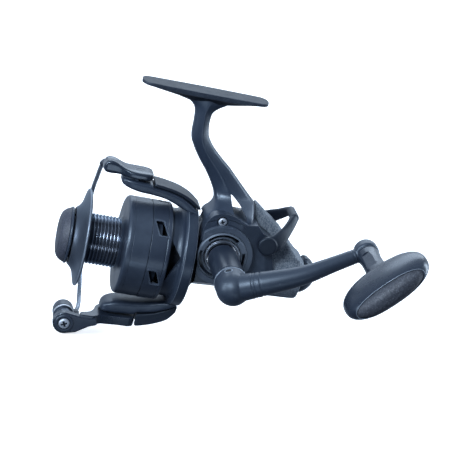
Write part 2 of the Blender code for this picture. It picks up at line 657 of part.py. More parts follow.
ARM_PATH = smooth_path([
    (0.0, KNUCKLE_Y, HANDLE_Z, 7.2), (12.6, -69.6, 17.2, 6.3), (30.6, -71.5, 25.6, 5.0), (47.0, -69.2, 34.6, 3.7), (ARM_END[0], -66.0, ARM_END[1], 3.3),
], 3)
arm = tube("handle_arm", ARM_PATH, ANODISED, HANDLE, sides=3)
DOME = [(8.7 * math.sin(math.radians(t)), KNUCKLE_Y - 8.7 * math.cos(math.radians(t))) for t in (0, 22, 44, 66, 88)]
weld(
    arm,
    turned("knuckle", DOME + [(8.7, -57.6), (0, -57.6)], "Y", None, HANDLE, (0, 0, HANDLE_Z), 18, True),
    turned(
        "arm_eye", [(0, -70.0), (5.6, -70.0), (6.3, -69.0), (6.3, -63.2), (5.4, -62.0), (0, -61.6)],
        "Y", None, HANDLE, (ARM_END[0], 0, ARM_END[1]), 14, True,
    ),
)
carve(
    arm,
    rod("knuckle_bore", 4.25, -64.4, -50.0, "Y", None, HANDLE, (0, 0, HANDLE_Z), 20, True),
    pin_bar("pin_hole_arm", 1.75, 12, None, True),
    rod("eye_bore", 2.55, -80.0, -63.6, "Y", None, HANDLE, (ARM_END[0], 0, ARM_END[1]), 16, True),
)
pin_bar("handle_pin", 1.45, 8.2, STEEL, False)
rod("knob_spindle", 2.25, -108.2, -64.0, "Y", STEEL, HANDLE, (ARM_END[0], 0, ARM_END[1]), 16)

# ---- handle knob -----------------------------------------------------------------------
knob = turned(
    "knob_body",
    [(0, -105.0), (6.6, -105.0), (6.0, -98.0), (5.2, -88.0), (5.3, -77.0), (5.9, -72.4), (5.4, -71.2), (0, -71.2)],
    "Y", BLACK, KNOB, (ARM_END[0], 0, ARM_END[1]), 14,
)
knob_centre = (ARM_END[0], KNOB_Y, ARM_END[1])
weld(knob, ball("knob_paddle", knob_centre, (24.2, 15.0, 7.8), None, KNOB, KNOB_TILT, True, 20, 10))
carve(
    knob,
    rod("knob_bore", 2.6, -108.9, -60.0, "Y", None, KNOB, (ARM_END[0], 0, ARM_END[1]), 16, True),
    block("knob_face_cut", (20, -130, 0), (100, -116.8, 100), None, KNOB, cutter=True),
    solver="MANIFOLD",
)
insert = ball("knob_insert", knob_centre, (24.2, 15.0, 7.8), RUBBER, KNOB, KNOB_TILT, False, 20, 10)
carve(insert, block("knob_insert_cut", (20, -117.1, 0), (100, -60, 100), None, KNOB, cutter=True))

# ---- oscillation gear ------------------------------------------------------------------
osc_small_gap = OSC_ANGLE + math.pi + math.pi / OSC_LARGE
osc = prism("oscillation_gear", spur_outline(OSC_LARGE, (OSC_X, OSC_Z), osc_small_gap), "XZ", 6.5, 9.5, BRASS, OSC)
weld(
    osc,
    rod("osc_hub", 4.0, 9.0, 11.5, "Y", None, OSC, (OSC_X, 0, OSC_Z), 20, True),
    rod("osc_stub", 2.0, 9.2, 14.4, "Y", None, OSC, (OSC_X, 0, OSC_Z), 16, True),
    rod("osc_pin", 1.6, 5.5, 7.0, "Y", None, OSC, (OSC_X, 0, OSC_Z + STROKE), 14, True),
)

# ---- crosshead and shaft ---------------------------------------------------------------
crosshead = block("crosshead", (24.0, -3.6, -8.4), (29.0, 4.8, 4.6), BRASS, SLIDE)
carve(
    crosshead,
    rod("crosshead_bore", 2.75, 20, 34, "X", None, SLIDE, steps=16, cutter=True),
    rod("crosshead_guide", 1.35, 20, 34, "X", None, SLIDE, GUIDE, 12, True),
)
turned(
    "main_shaft",
    [(0, -82.4), (2.4, -82.4), (2.4, 22.2), (4.4, 22.2), (4.4, 23.7), (2.4, 23.7), (2.4, 31.4), (0, 31.4)],
    "X", STEEL, SHAFT, steps=16,
)
ring("shaft_clip", 2.7, 4.4, 29.3, 30.6, "X", STEEL, SHAFT)
turned(
    "spool_seat", [(2.7, -62.1), (6.4, -62.1), (6.4, -56.2), (9.6, -56.2), (9.6, -54.4), (2.7, -54.4)],
    "X", BLACK, SHAFT, steps=20,
)

# ---- spool and front drag --------------------------------------------------------------
SPLIT_X = -39.2  # seam between the spool's own skirt and the windowed ring
turned(
    "spool",
    [(2.9, -65.4), (12.2, -65.4), (12.2, -77.9), (15.0, -78.5), (18.3, -77.9), (21.5, -75.6), (24.6, -73.5), (26.2, -72.9), (LIP_R, -72.4),
     (26.2, -71.8), (24.5, -71.4), (15.2, -70.6), (ARBOR_R, -69.4), (ARBOR_R, -54.2), (14.8, -52.5), (16.2, -52.0), (25.9, -51.9),
     (SKIRT_R, -51.0), (SKIRT_R, SPLIT_X), (26.0, SPLIT_X), (26.0, -37.9), (25.2, -37.9), (25.2, -49.4), (10.6, -49.4), (10.6, -62.4), (2.9, -62.4)],
    "X", ANODISED, SPOOL, steps=24,
)
skirt = turned(
    "skirt_ring",
    [(26.3, SPLIT_X + GAP), (SKIRT_R, SPLIT_X + GAP), (SKIRT_R, -28.6), (26.4, -28.1), (25.2, -28.1), (25.2, -37.6), (26.3, -37.6)],
    "X", BLACK, SPOOL, steps=30,
)
for index in range(6):
    middle = math.radians(180 - 46 + 60 * index)
    window = bpy.data.meshes.new(f"skirt_window_{index}")
    work = bmesh.new()
    bmesh.ops.create_cube(work, size=1.0)
    for vert in work.verts:
        vert.co = Vector((vert.co.x * 4.6 + vert.co.y * 1.6, vert.co.y * 8.6, vert.co.z * 8)) * MM
    work.transform(Matrix.Rotation(middle - math.pi / 2, 4, "X"))
    work.to_mesh(window)
    work.free()
    carve(
        skirt,
        link(f"skirt_window_{index}", window, None, SPOOL, (-34.0, 26 * math.cos(middle), 26 * math.sin(middle)), cutter=True),
    )
for name, inner, outer, low, high, look in (
    ("drag_felt_inner", 3.3, 11.8, -67.2, -65.8, FELT),
    ("drag_disc_inner", 3.3, 11.8, -68.8, -67.6, STEEL),
    ("drag_felt_outer", 3.3, 11.8, -70.5, -69.1, FELT),
    ("drag_disc_outer", 3.3, 11.8, -72.0, -70.8, STEEL),
    ("drag_clip", 10.7, 11.9, -73.1, -72.4, STEEL),
):
    ring(name, inner, outer, low, high, "X", look, SPOOL, steps=18)

# ---- front drag knob -------------------------------------------------------------------
turned(
    "drag_knob",
    [(0, -84.5), (8.2, -84.3), (11.0, -83.6), (12.5, -82.3), (13.3, -80.8), (15.0, -80.7), (15.5, -79.4), (10.7, -79.1), (10.7, -74.2), (7.0, -74.2),
     (7.0, -80.3), (2.75, -80.3), (2.75, -82.9), (0, -82.9)],
    "X", ANODISED, DRAG, steps=22,
)
turned(
    "drag_knob_grip",
    [(0, -86.0), (8.4, -85.8), (11.6, -85.0), (13.4, -83.5), (14.3, -82.1), (14.7, -80.95), (13.65, -80.95), (12.85, -82.4), (11.2, -83.95), (8.3, -84.65), (0, -84.85)],
    "X", RUBBER, DRAG, steps=22,
)
turned("drag_nut", [(3.2, -80.0), (6.4, -80.0), (6.4, -77.2), (3.2, -77.2)], "X", BRASS, DRAG, steps=6)
SPRING_TURNS = 2.5
tube(
    "drag_spring",
    [(-76.5 + 3.6 * i / 24, 5.0 * math.cos(2 * math.pi * SPRING_TURNS * i / 24), 5.0 * math.sin(2 * math.pi * SPRING_TURNS * i / 24), 0.45) for i in range(25)],
    STEEL, DRAG, sides=0,
)

# ---- rotor -----------------------------------------------------------------------------
rotor = turned(
    "rotor",
    [(4.35, -36.9), (21.6, -36.9), (23.6, -36.2), (DRUM_R, -35.2), (DRUM_R, -22.8), (25.4, -21.8), (27.6, -21.2), (RING_R, -20.4),
     (RING_R, -15.2), (27.9, -14.5), (26.6, -14.5), (26.2, -15.1), (26.2, -17.8), (25.2, -18.6), (22.0, -18.9), (21.5, -22.2), (21.5, -33.9), (4.35, -33.9)],
    "X", GRAPHITE, ROTOR, steps=28,
)
ARM_OUTSIDE = [(-15.8, 28.6), (-19.5, 31.4), (-25.7, 34.4), (-31.5, 35.9), (-35.6, 36.5)]
ARM_SHAPES = {  # outer line, then the front end and the inner line back to the ring
    "upper": ARM_OUTSIDE + [(-41.2, 37.2), (-42.0, 38.3), (-47.0, 38.6), (-57.0, 38.9), (-58.6, 37.6), (-58.6, 36.2), (-57.0, 35.0), (-49.6, 34.2), (-40.3, 34.9),
                            (-34.3, 34.2), (-29.0, 31.6), (-25.0, 29.0), (-21.4, 27.0), (-17.0, 26.9)],
    "lower": ARM_OUTSIDE + [(-36.4, 37.8), (-47.0, 38.6), (-53.8, 38.8), (-55.6, 37.8), (-55.4, 36.6), (-53.8, 34.8), (-48.6, 33.6), (-38.8, 33.0),
                            (-32.0, 32.0), (-27.6, 30.4), (-24.4, 28.6), (-21.4, 27.0), (-17.0, 26.9)],
}
COVER_SHAPES = {
    "upper": [(-13.8, 28.9), (-14.1, 29.7), (-19.4, 33.6), (-25.7, 36.4), (-31.5, 37.8), (-36.5, 38.6), (-40.2, 38.95), (-40.8, 38.5), (-40.8, 37.5), (-35.5, 36.85)],
    "lower": [(-13.9, 28.9), (-14.5, 31.6), (-18.6, 35.9), (-25.5, 39.3), (-31.5, 40.5), (-34.2, 40.7), (-35.2, 40.0), (-35.2, 36.85)],
}
COVER_SEAT = [(-31.5, 36.25), (-25.7, 34.75), (-19.5, 31.75), (-15.6, 28.9)]
for label, way in (("upper", 1), ("lower", -1)):
    outline = [(x, z * way) for x, z in ARM_SHAPES[label]]
    weld(rotor, prism("rotor_limb_" + label, outline, "XZ", -7.6, 7.6, None, ROTOR, cutter=True))
    carve(rotor, rod("pivot_hole_" + label, 1.9, *sorted((29.0 * way, 45.0 * way)), "Z", None, ROTOR, (PIVOT_X, 0, 0), 12, True))
    plate = COVER_SHAPES[label] + COVER_SEAT
    prism("arm_cover_" + label, [(x, z * way) for x, z in plate], "XZ", -7.2, 7.2, BLACK, ROTOR, bevel=0.4, segments=1)
turned("rotor_nut", [(5.1, -41.0), (8.0, -41.0), (8.0, -37.2), (5.1, -37.2)], "X", BRASS, ROTOR, steps=6)
ring("clutch_sleeve", 4.3, 6.5, -31.6, -23.5, "X", STEEL, ROTOR)
tube(
    "bail_spring",
    [(-44.4 + 0.9 * math.cos(2 * math.pi * 5 * i / 40), -4.4 + 8.8 * i / 40, 36.9 + 0.9 * math.sin(2 * math.pi * 5 * i / 40), 0.24) for i in range(41)],
    STEEL, ROTOR, sides=0,
)
carve(rotor, block("spring_pocket", (-45.8, -5.0, 35.5), (-43.0, 5.0, 42.0), None, ROTOR, cutter=True))


def pinion():
    """Helical teeth swept along the shaft: a toothed section turned as it travels."""
    front, back = -18.7, -8.6
    turn_per_mm = -math.tan(HELIX) / PINION_R
    step = 2 * math.pi / PINION_TEETH
    work = bmesh.new()
    loop = []
    for index in range(PINION_TEETH):
        middle = math.pi + index * step + turn_per_mm * (front - MESH_X)
        for radius, share in ((PINION_R - 0.82, -0.26), (PINION_R + 0.52, -0.13), (PINION_R + 0.52, 0.13), (PINION_R - 0.82, 0.26)):
            angle = middle + share * step
            loop.append(work.verts.new((front * MM, radius * math.cos(angle) * MM, radius * math.sin(angle) * MM)))
    face = work.faces.new(loop)
    slices = 6
    bmesh.ops.spin(
        work, geom=[face] + list(face.edges) + loop, cent=(0, 0, 0), axis=(1, 0, 0),
        dvec=((back - front) / slices * MM, 0, 0), angle=turn_per_mm * (back - front), steps=slices, use_duplicate=False,
    )
    bmesh.ops.remove_doubles(work, verts=work.verts, dist=1e-7)
    open_ends = [e for e in work.edges if len(e.link_faces) == 1]
    if open_ends:
        bmesh.ops.holes_fill(work, edges=open_ends, sides=0)
    bmesh.ops.recalc_face_normals(work, faces=work.faces)
    mesh = bpy.data.meshes.new("pinion_gear")
    work.to_mesh(mesh)
    work.free()
    return link("pinion_gear", mesh, BRASS, ROTOR)


pinion_gear = pinion()
weld(pinion_gear, rod("pinion_sleeve", 4.0, -41.6, -18.3, "X", None, ROTOR, steps=18, cutter=True))
carve(pinion_gear, rod("pinion_bore", 2.75, -50, 0, "X", None, ROTOR, steps=16, cutter=True))

# ---- bail ------------------------------------------------------------------------------
def bail_base(front_half):
    """Plan of a bail pad: round about the pivot, reaching forward."""
    return arc((PIVOT_X, 0), 8.0, -90, 90, 8) + [(-58.0, 6.4), (-64.0, front_half), (-64.0, -front_half), (-58.0, -6.4)]


bail_lever = prism("bail_lever", bail_base(5.4), "XY", 39.4, 43.6, BLACK, BAIL, bevel=0.9, segments=1)
lever_tip = prism(
    "bail_lever_tip",
    [(-69.2, 41.2), (-69.0, 43.8), (-66.2, 45.9), (-61.8, 45.9), (-56.0, 44.2), (-52.0, 43.9), (-52.0, 41.0), (-60.0, 40.4), (-66.0, 39.8)],
    "XZ", -4.6, 6.0, None, BAIL, bevel=0.9, cutter=True, segments=1,
)
weld(bail_lever, lever_tip)
roller_arm = prism(
    "roller_arm",
    arc((PIVOT_X + 5.2, 0), 7.6, -90, 90, 8) + [(-54.6, 6.4), (-57.0, 3.0), (-58.6, -2.6), (-61.4, -6.6), (-66.0, -8.9), (-66.0, -13.2), (-59.0, -12.9), (-54.0, -9.2)],
    "XY", -44.8, -39.4, BLACK, BAIL, bevel=0.9, segments=1,
)
web = prism(
    "roller_arm_web",
    [(-57.0, -40.2), (-62.0, -41.2), (-67.0, -40.6)] + arc(ROLLER, 6.3, 75, 285, 9) + [(-67.0, -50.4), (-60.4, -45.9), (-56.0, -44.2)],
    "XZ", -13.5, -8.8, None, BAIL, cutter=True,
)
weld(roller_arm, web)
carve(roller_arm, rod("roller_screw_hole", 1.9, -20, 0, "Y", None, BAIL, (ROLLER[0], 0, ROLLER[1]), 16, True))
for label, target, way in (("upper", bail_lever, 1), ("lower", roller_arm, -1)):
    face = 43.6 if way > 0 else 44.8
    seat_profile = [(0, 30 * way), (1.9, 30 * way), (1.9, (face - 1.6) * way), (3.6, (face - 1.6) * way), (3.6, (face + 6) * way), (0, (face + 6) * way)]
    carve(target, turned("pivot_seat_" + label, seat_profile, "Z", None, BAIL, (PIVOT_X, 0, 0), 14, True))
    screw_profile = [
        (0, 35.2 * way), (1.55, 35.2 * way), (1.55, (face - 1.25) * way), (3.2, (face - 1.25) * way), (3.2, (face - 0.2) * way), (2.6, (face + 0.1) * way), (0, (face + 0.1) * way),
    ]
    turned("bail_pivot_screw_" + label, screw_profile, "Z", STEEL, BAIL, (PIVOT_X, 0, 0), 14)
turned(
    "roller_screw",
    [(0, -14.9), (2.2, -14.9), (2.9, -14.3), (2.9, -13.75), (1.5, -13.75), (1.5, 4.6), (0, 4.6)],
    "Y", STEEL, BAIL, (ROLLER[0], 0, ROLLER[1]), 14,
)
ring("roller_bush", 1.85, 2.9, -8.4, -2.4, "Y", BRASS, BAIL, (ROLLER[0], 0, ROLLER[1]), 14)
ring("roller_washer", 1.85, 5.8, -2.1, -1.4, "Y", ALLOY, BAIL, (ROLLER[0], 0, ROLLER[1]), 18)
wire_cup = turned(
    "wire_cup", [(1.85, -1.1), (5.6, -1.1), (5.9, 3.6), (5.6, 6.4), (4.6, 7.8), (2.6, 8.6), (0, 8.8), (0, 5.2), (1.85, 5.2)],
    "Y", BLACK, BAIL, (ROLLER[0], 0, ROLLER[1]), 14,
)
WIRE_ENDS = ((-67.6, 7.2, 42.2), (-66.5, 8.8, -47.6))
WIRE = smooth_path([
    WIRE_ENDS[0], (-68.6, 13.0, 37.6), (-68.0, 27.0, 26.0), (-67.2, 41.6, 13.0), (-66.8, 48.0, -5.0), (-65.6, 47.2, -22.0),
    (-64.7, 41.5, -34.0), (-64.2, 29.5, -43.4), (-64.6, 17.0, -47.2), WIRE_ENDS[1],
], 3)
wire = tube("bail_wire", [(*p, 1.2) for p in WIRE], STEEL, BAIL, sides=1)
wire_socket = tube("wire_cup_arm", [(-66.5, 8.4, -47.6, 2.0), (-66.7, 6.4, -47.6, 2.1), (-69.4, 3.9, -47.0, 2.4), (-71.0, 3.0, -46.8, 2.5)], None, BAIL, cutter=True)
weld(wire_cup, wire_socket)
carve(wire_cup, rod("wire_cup_bore", 1.85, -2.0, 5.2, "Y", None, BAIL, (ROLLER[0], 0, ROLLER[1]), 16, True))

# ---- line roller -----------------------------------------------------------------------
turned(
    "line_roller",
    [(3.2, -8.4), (5.6, -8.4), (5.4, -7.4), (4.7, -6.2), (4.5, -5.3), (4.8, -3.8), (5.5, -2.5), (3.2, -2.5)],
    "Y", ALLOY, LINE, (ROLLER[0], 0, ROLLER[1]), 18,
)

for made in PARTS.objects:
    if made.type == "MESH":
        soften(made)
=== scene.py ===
"""Looks of the spinning reel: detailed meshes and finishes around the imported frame.

Lengths below are millimetres in the reel's own frame: X along the spool axis with the
front at -X, -Y towards the handle, +Z towards the foot, origin on the spool axis under
the handle axis. W() turns such a point into the row frame in metres.
"""

import math

import bmesh
import bpy
from mathutils import Matrix, Vector


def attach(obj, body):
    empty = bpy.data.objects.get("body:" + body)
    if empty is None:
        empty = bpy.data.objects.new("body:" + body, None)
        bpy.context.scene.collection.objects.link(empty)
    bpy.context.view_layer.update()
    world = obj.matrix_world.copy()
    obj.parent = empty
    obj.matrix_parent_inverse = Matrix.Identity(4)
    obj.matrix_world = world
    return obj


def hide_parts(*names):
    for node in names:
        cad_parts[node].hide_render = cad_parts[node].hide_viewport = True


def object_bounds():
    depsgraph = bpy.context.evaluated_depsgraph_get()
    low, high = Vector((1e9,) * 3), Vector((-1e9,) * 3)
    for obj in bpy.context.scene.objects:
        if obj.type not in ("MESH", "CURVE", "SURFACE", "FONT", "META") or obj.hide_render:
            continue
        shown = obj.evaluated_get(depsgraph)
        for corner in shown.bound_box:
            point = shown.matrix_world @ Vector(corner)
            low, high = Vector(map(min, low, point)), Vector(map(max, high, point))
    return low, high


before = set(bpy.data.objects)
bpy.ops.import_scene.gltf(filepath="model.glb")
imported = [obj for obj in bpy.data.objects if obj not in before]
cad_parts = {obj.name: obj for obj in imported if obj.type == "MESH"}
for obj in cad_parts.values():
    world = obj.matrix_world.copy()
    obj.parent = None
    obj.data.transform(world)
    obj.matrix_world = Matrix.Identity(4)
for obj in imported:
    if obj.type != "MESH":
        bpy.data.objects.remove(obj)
CAD_BOX = [list(c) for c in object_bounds()]
COL = bpy.context.scene.collection
MM = 0.001
AXLE = (0.0, 10.5)


def W(x, y, z):
    return Vector(((x + 24.6) * MM, y * MM, (z - 92.8) * MM))


# ---- materials -------------------------------------------------------------------------
def new_material(name):
    made = bpy.data.materials.new(name)
    made.use_nodes = True
    tree = made.node_tree
    return made, tree, tree.nodes["Principled BSDF"]


def node(tree, kind, **values):
    made = tree.nodes.new(kind)
    for key, value in values.items():
        if key in made.inputs:
            made.inputs[key].default_value = value
        else:
            setattr(made, key, value)
    return made


def ramp(tree, stops):
    made = tree.nodes.new("ShaderNodeValToRGB")
    bar = made.color_ramp.elements
    while len(bar) > 2:
        bar.remove(bar[-1])
    for index, (place, colour) in enumerate(stops):
        entry = bar[index] if index < 2 else bar.new(place)
        entry.position = place
        entry.color = (*colour, 1) if len(colour) == 3 else colour
    return made


def finish_material(
    name, low, high, rough, metallic=0.0, grain=900.0, grain_depth=0.02, cell=0.0, cell_depth=0.0,
    wear=0.0, wear_colour=(0.3, 0.32, 0.36), rings=0.0, specular=0.5, coat=0.0, coat_rough=0.3, flake=0.0, tint=(1, 1, 1),
    rings_axis="X", mottle=60.0,
):
    """Moulded, painted or turned finish: mottled colour, varied roughness, fine grain, worn edges."""
    made, tree, shader = new_material(name)
    join = tree.links.new
    where = node(tree, "ShaderNodeTexCoord")
    broad = node(tree, "ShaderNodeTexNoise", Scale=mottle, Detail=5.0, Roughness=0.6)
    join(where.outputs["Object"], broad.inputs["Vector"])
    shade = ramp(tree, [(0.3, low), (0.72, high)])
    join(broad.outputs["Fac"], shade.inputs["Fac"])
    colour = shade.outputs["Color"]

    fine = node(tree, "ShaderNodeTexNoise", Scale=grain, Detail=3.0, Roughness=0.55)
    join(where.outputs["Object"], fine.inputs["Vector"])
    if flake:
        spark = node(tree, "ShaderNodeTexVoronoi", Scale=grain * 1.6)
        join(where.outputs["Object"], spark.inputs["Vector"])
        bright = ramp(tree, [(0.0, (0, 0, 0)), (1.0, (1, 1, 1))])
        apart = node(tree, "ShaderNodeSeparateColor")
        join(spark.outputs["Color"], apart.inputs["Color"])
        join(apart.outputs["Red"], bright.inputs["Fac"])
        bright.color_ramp.elements[0].position = 0.86
        mixed = node(tree, "ShaderNodeMix", data_type="RGBA", blend_type="ADD")
        mixed.inputs["B"].default_value = (0.5 * flake, 0.53 * flake, 0.58 * flake, 1)
        join(bright.outputs["Color"], mixed.inputs["Factor"])
        join(colour, mixed.inputs["A"])
        colour = mixed.outputs["Result"]
    if wear:
        shape = node(tree, "ShaderNodeNewGeometry")
        edge = ramp(tree, [(0.515, (0, 0, 0)), (0.6, (1, 1, 1))])
        join(shape.outputs["Pointiness"], edge.inputs["Fac"])
        broken = node(tree, "ShaderNodeMath", operation="MULTIPLY")
        worn = node(tree, "ShaderNodeTexNoise", Scale=240.0, Detail=4.0)
        join(where.outputs["Object"], worn.inputs["Vector"])
        join(edge.outputs["Color"], broken.inputs[0])
        join(worn.outputs["Fac"], broken.inputs[1])
        amount = node(tree, "ShaderNodeMath", operation="MULTIPLY", use_clamp=True)
        join(broken.outputs[0], amount.inputs[0])
        amount.inputs[1].default_value = 2.0 * wear
        mixed = node(tree, "ShaderNodeMix", data_type="RGBA")
        mixed.inputs["B"].default_value = (*wear_colour, 1)
        join(amount.outputs[0], mixed.inputs["Factor"])
        join(colour, mixed.inputs["A"])
        colour = mixed.outputs["Result"]
    join(colour, shader.inputs["Base Color"])

    rub = node(tree, "ShaderNodeTexNoise", Scale=130.0, Detail=4.0, Roughness=0.65)
    join(where.outputs["Object"], rub.inputs["Vector"])
    spread = node(tree, "ShaderNodeMapRange")
    spread.inputs["From Min"].default_value = 0.3
    spread.inputs["From Max"].default_value = 0.7
    spread.inputs["To Min"].default_value = rough[0]
    spread.inputs["To Max"].default_value = rough[1]
    join(rub.outputs["Fac"], spread.inputs["Value"])
    join(spread.outputs["Result"], shader.inputs["Roughness"])

    height = fine.outputs["Fac"]
    bump = node(tree, "ShaderNodeBump")
    bump.inputs["Strength"].default_value = 1.0
    bump.inputs["Distance"].default_value = grain_depth * MM
    join(height, bump.inputs["Height"])
    last = bump
    if cell:
        pebble = node(tree, "ShaderNodeTexVoronoi", Scale=cell, feature="SMOOTH_F1")
        join(where.outputs["Object"], pebble.inputs["Vector"])
        second = node(tree, "ShaderNodeBump", invert=True)
        second.inputs["Strength"].default_value = 1.0
        second.inputs["Distance"].default_value = cell_depth * MM
        join(pebble.outputs["Distance"], second.inputs["Height"])
        join(last.outputs["Normal"], second.inputs["Normal"])
        last = second
    if rings:
        wave = node(tree, "ShaderNodeTexWave", wave_type="BANDS", bands_direction=rings_axis, Scale=rings, Distortion=1.2, Detail=2.0)
        join(where.outputs["Object"], wave.inputs["Vector"])
        third = node(tree, "ShaderNodeBump")
        third.inputs["Strength"].default_value = 0.5
        third.inputs["Distance"].default_value = 0.012 * MM
        join(wave.outputs["Fac"], third.inputs["Height"])
        join(last.outputs["Normal"], third.inputs["Normal"])
        last = third
    join(last.outputs["Normal"], shader.inputs["Normal"])
    shader.inputs["Metallic"].default_value = metallic
    shader.inputs["Specular IOR Level"].default_value = specular
    shader.inputs["Specular Tint"].default_value = (*tint, 1)
    shader.inputs["Coat Weight"].default_value = coat
    shader.inputs["Coat Roughness"].default_value = coat_rough
    return made


BLUE = (0.78, 0.89, 1.0)
SATIN = finish_material(
    "satin_black_look", (0.0080, 0.0118, 0.0205), (0.0115, 0.0165, 0.0275), (0.28, 0.36), grain=1500, grain_depth=0.010,
    wear=0.25, wear_colour=(0.06, 0.075, 0.105), specular=0.5, tint=BLUE,
)
GRAPHITE = finish_material(
    "graphite_look", (0.0115, 0.0168, 0.0280), (0.0160, 0.0225, 0.0360), (0.32, 0.41), grain=2200, grain_depth=0.012, flake=0.02,
    wear=0.3, wear_colour=(0.07, 0.088, 0.12), specular=0.5, tint=BLUE,
)
STEM = finish_material(
    "stem_look", (0.0130, 0.0192, 0.0325), (0.0180, 0.0258, 0.0415), (0.31, 0.38), grain=2600, grain_depth=0.012, flake=0.02,
    wear=0.15, wear_colour=(0.07, 0.088, 0.12), specular=0.55, tint=BLUE,
)
FOOT = finish_material(
    "foot_look", (0.0048, 0.0070, 0.0125), (0.0095, 0.0128, 0.0200), (0.50, 0.60), grain=1500, grain_depth=0.03, flake=0.04,
    wear=0.6, wear_colour=(0.07, 0.085, 0.115), specular=0.30, tint=BLUE, cell=2300, cell_depth=0.03,
)
GRAIN = finish_material(
    "grained_look", (0.036, 0.045, 0.058), (0.170, 0.190, 0.215), (0.56, 0.7), grain=2300, grain_depth=0.05, cell=1900,
    cell_depth=0.07, flake=0.16, wear=0.25, wear_colour=(0.17, 0.19, 0.22), specular=0.45, tint=BLUE, mottle=1150,
)
RUBBER = finish_material(
    "soft_grip_look", (0.0110, 0.0132, 0.0205), (0.0480, 0.0530, 0.0670), (0.56, 0.72), grain=1900, grain_depth=0.05, cell=1500,
    cell_depth=0.10, flake=0.10, wear=0.2, wear_colour=(0.07, 0.08, 0.1), specular=0.45, mottle=950,
)
CAPGRIP = finish_material(
    "drag_cap_look", (0.0090, 0.0110, 0.0190), (0.0420, 0.0465, 0.0640), (0.48, 0.62), grain=1900, grain_depth=0.04, cell=1500,
    cell_depth=0.08, flake=0.08, wear=0.2, wear_colour=(0.07, 0.08, 0.1), specular=0.45, mottle=900,
)
ANODISED = finish_material(
    "anodised_look", (0.0300, 0.0380, 0.0540), (0.0420, 0.0520, 0.0700), (0.24, 0.31), metallic=0.55, grain=1800, grain_depth=0.004,
    wear=0.3, wear_colour=(0.16, 0.18, 0.22), specular=0.55, tint=BLUE,
)
LIP = finish_material(
    "lip_look", (0.036, 0.045, 0.061), (0.048, 0.058, 0.077), (0.34, 0.40), metallic=0.55, grain=2400, grain_depth=0.002,
    wear=0.2, wear_colour=(0.3, 0.33, 0.38), specular=0.55, tint=BLUE,
)
ARBOR = finish_material(
    "arbor_look", (0.150, 0.170, 0.205), (0.180, 0.202, 0.240), (0.20, 0.25), metallic=0.9, grain=2400, grain_depth=0.0015, specular=0.55, tint=BLUE,
)
SKIRTFINISH = finish_material(
    "skirt_look", (0.0135, 0.0185, 0.0300), (0.0180, 0.0240, 0.0370), (0.33, 0.40), grain=2400, grain_depth=0.005,
    wear=0.3, wear_colour=(0.08, 0.1, 0.13), specular=0.55, tint=BLUE,
)
# thin bright lines on rims and edges: painted highlights where light catches the edges
HIGHLIGHT_EDGE = finish_material(
    "painted_highlight_edge_look", (0.105, 0.125, 0.155), (0.145, 0.168, 0.200), (0.30, 0.40), metallic=0.35, grain=2400, grain_depth=0.004,
    wear=0.3, wear_colour=(0.3, 0.34, 0.4), specular=0.55, tint=BLUE,
)
RINGGREY = finish_material(
    "bearing_cap_look", (0.060, 0.074, 0.096), (0.080, 0.095, 0.120), (0.40, 0.52), grain=2000, grain_depth=0.010,
    wear=0.35, wear_colour=(0.12, 0.14, 0.17), specular=0.5, tint=BLUE,
)
GLOSS = finish_material(
    "gloss_black_look", (0.0085, 0.0122, 0.0205), (0.0120, 0.0168, 0.0270), (0.20, 0.26), grain=1700, grain_depth=0.001,
    wear=0.06, wear_colour=(0.04, 0.05, 0.07), specular=0.6, tint=BLUE,
)
# lighter grey for raised rims: painted sheen standing in for the light they catch
SHEEN_GREY = finish_material(
    "painted_sheen_look", (0.030, 0.039, 0.056), (0.042, 0.053, 0.072), (0.36, 0.46), grain=2200, grain_depth=0.010,
    wear=0.3, wear_colour=(0.1, 0.12, 0.15), specular=0.5, tint=BLUE,
)
LEVERLOOK = finish_material(
    "lever_look", (0.0050, 0.0075, 0.0135), (0.0072, 0.0105, 0.0175), (0.42, 0.5), grain=1700, grain_depth=0.010,
    wear=0.25, wear_colour=(0.06, 0.075, 0.1), specular=0.32, tint=BLUE,
)
DARK = finish_material(
    "shadow_black_look", (0.0030, 0.0036, 0.0060), (0.0052, 0.0062, 0.0095), (0.55, 0.7), grain=1500, grain_depth=0.012,
    wear=0.1, wear_colour=(0.02, 0.024, 0.03), specular=0.25, tint=BLUE,
)
ARMFINISH = finish_material(
    "arm_look", (0.0140, 0.0198, 0.0315), (0.0190, 0.0258, 0.0395), (0.40, 0.48), grain=2400, grain_depth=0.008, flake=0.015,
    wear=0.25, wear_colour=(0.09, 0.11, 0.14), specular=0.55, tint=BLUE,
)
KNOBLOOK = finish_material(
    "knob_look", (0.0085, 0.0124, 0.0210), (0.0120, 0.0165, 0.0270), (0.25, 0.31), grain=1700, grain_depth=0.001,
    wear=0.06, wear_colour=(0.04, 0.05, 0.07), specular=0.5, tint=BLUE,
)
STEEL = finish_material(
    "steel_look", (0.46, 0.48, 0.52), (0.64, 0.66, 0.70), (0.18, 0.32), metallic=1.0, grain=2600, grain_depth=0.006,
    wear=0.3, wear_colour=(0.8, 0.82, 0.85), rings=600, rings_axis="Y",
)
SCREWLOOK = finish_material(
    "screw_look", (0.34, 0.37, 0.42), (0.44, 0.47, 0.52), (0.42, 0.50), metallic=0.6, grain=2600, grain_depth=0.001,
    wear=0.2, wear_colour=(0.7, 0.73, 0.77),
)
COLLARLOOK = finish_material(
    "collar_look", (0.060, 0.072, 0.092), (0.085, 0.098, 0.120), (0.30, 0.38), metallic=0.8, grain=2600, grain_depth=0.006,
    wear=0.3, wear_colour=(0.4, 0.42, 0.46),
)
WIRE = finish_material(
    "wire_look", (0.130, 0.155, 0.195), (0.170, 0.200, 0.240), (0.24, 0.32), metallic=0.85, grain=2400, grain_depth=0.004,
    wear=0.2, wear_colour=(0.3, 0.33, 0.37),
)
BRASS = finish_material(
    "brass_look", (0.50, 0.36, 0.14), (0.68, 0.50, 0.22), (0.24, 0.4), metallic=1.0, grain=2000, grain_depth=0.008,
    wear=0.3, wear_colour=(0.85, 0.7, 0.4), rings=500,
)
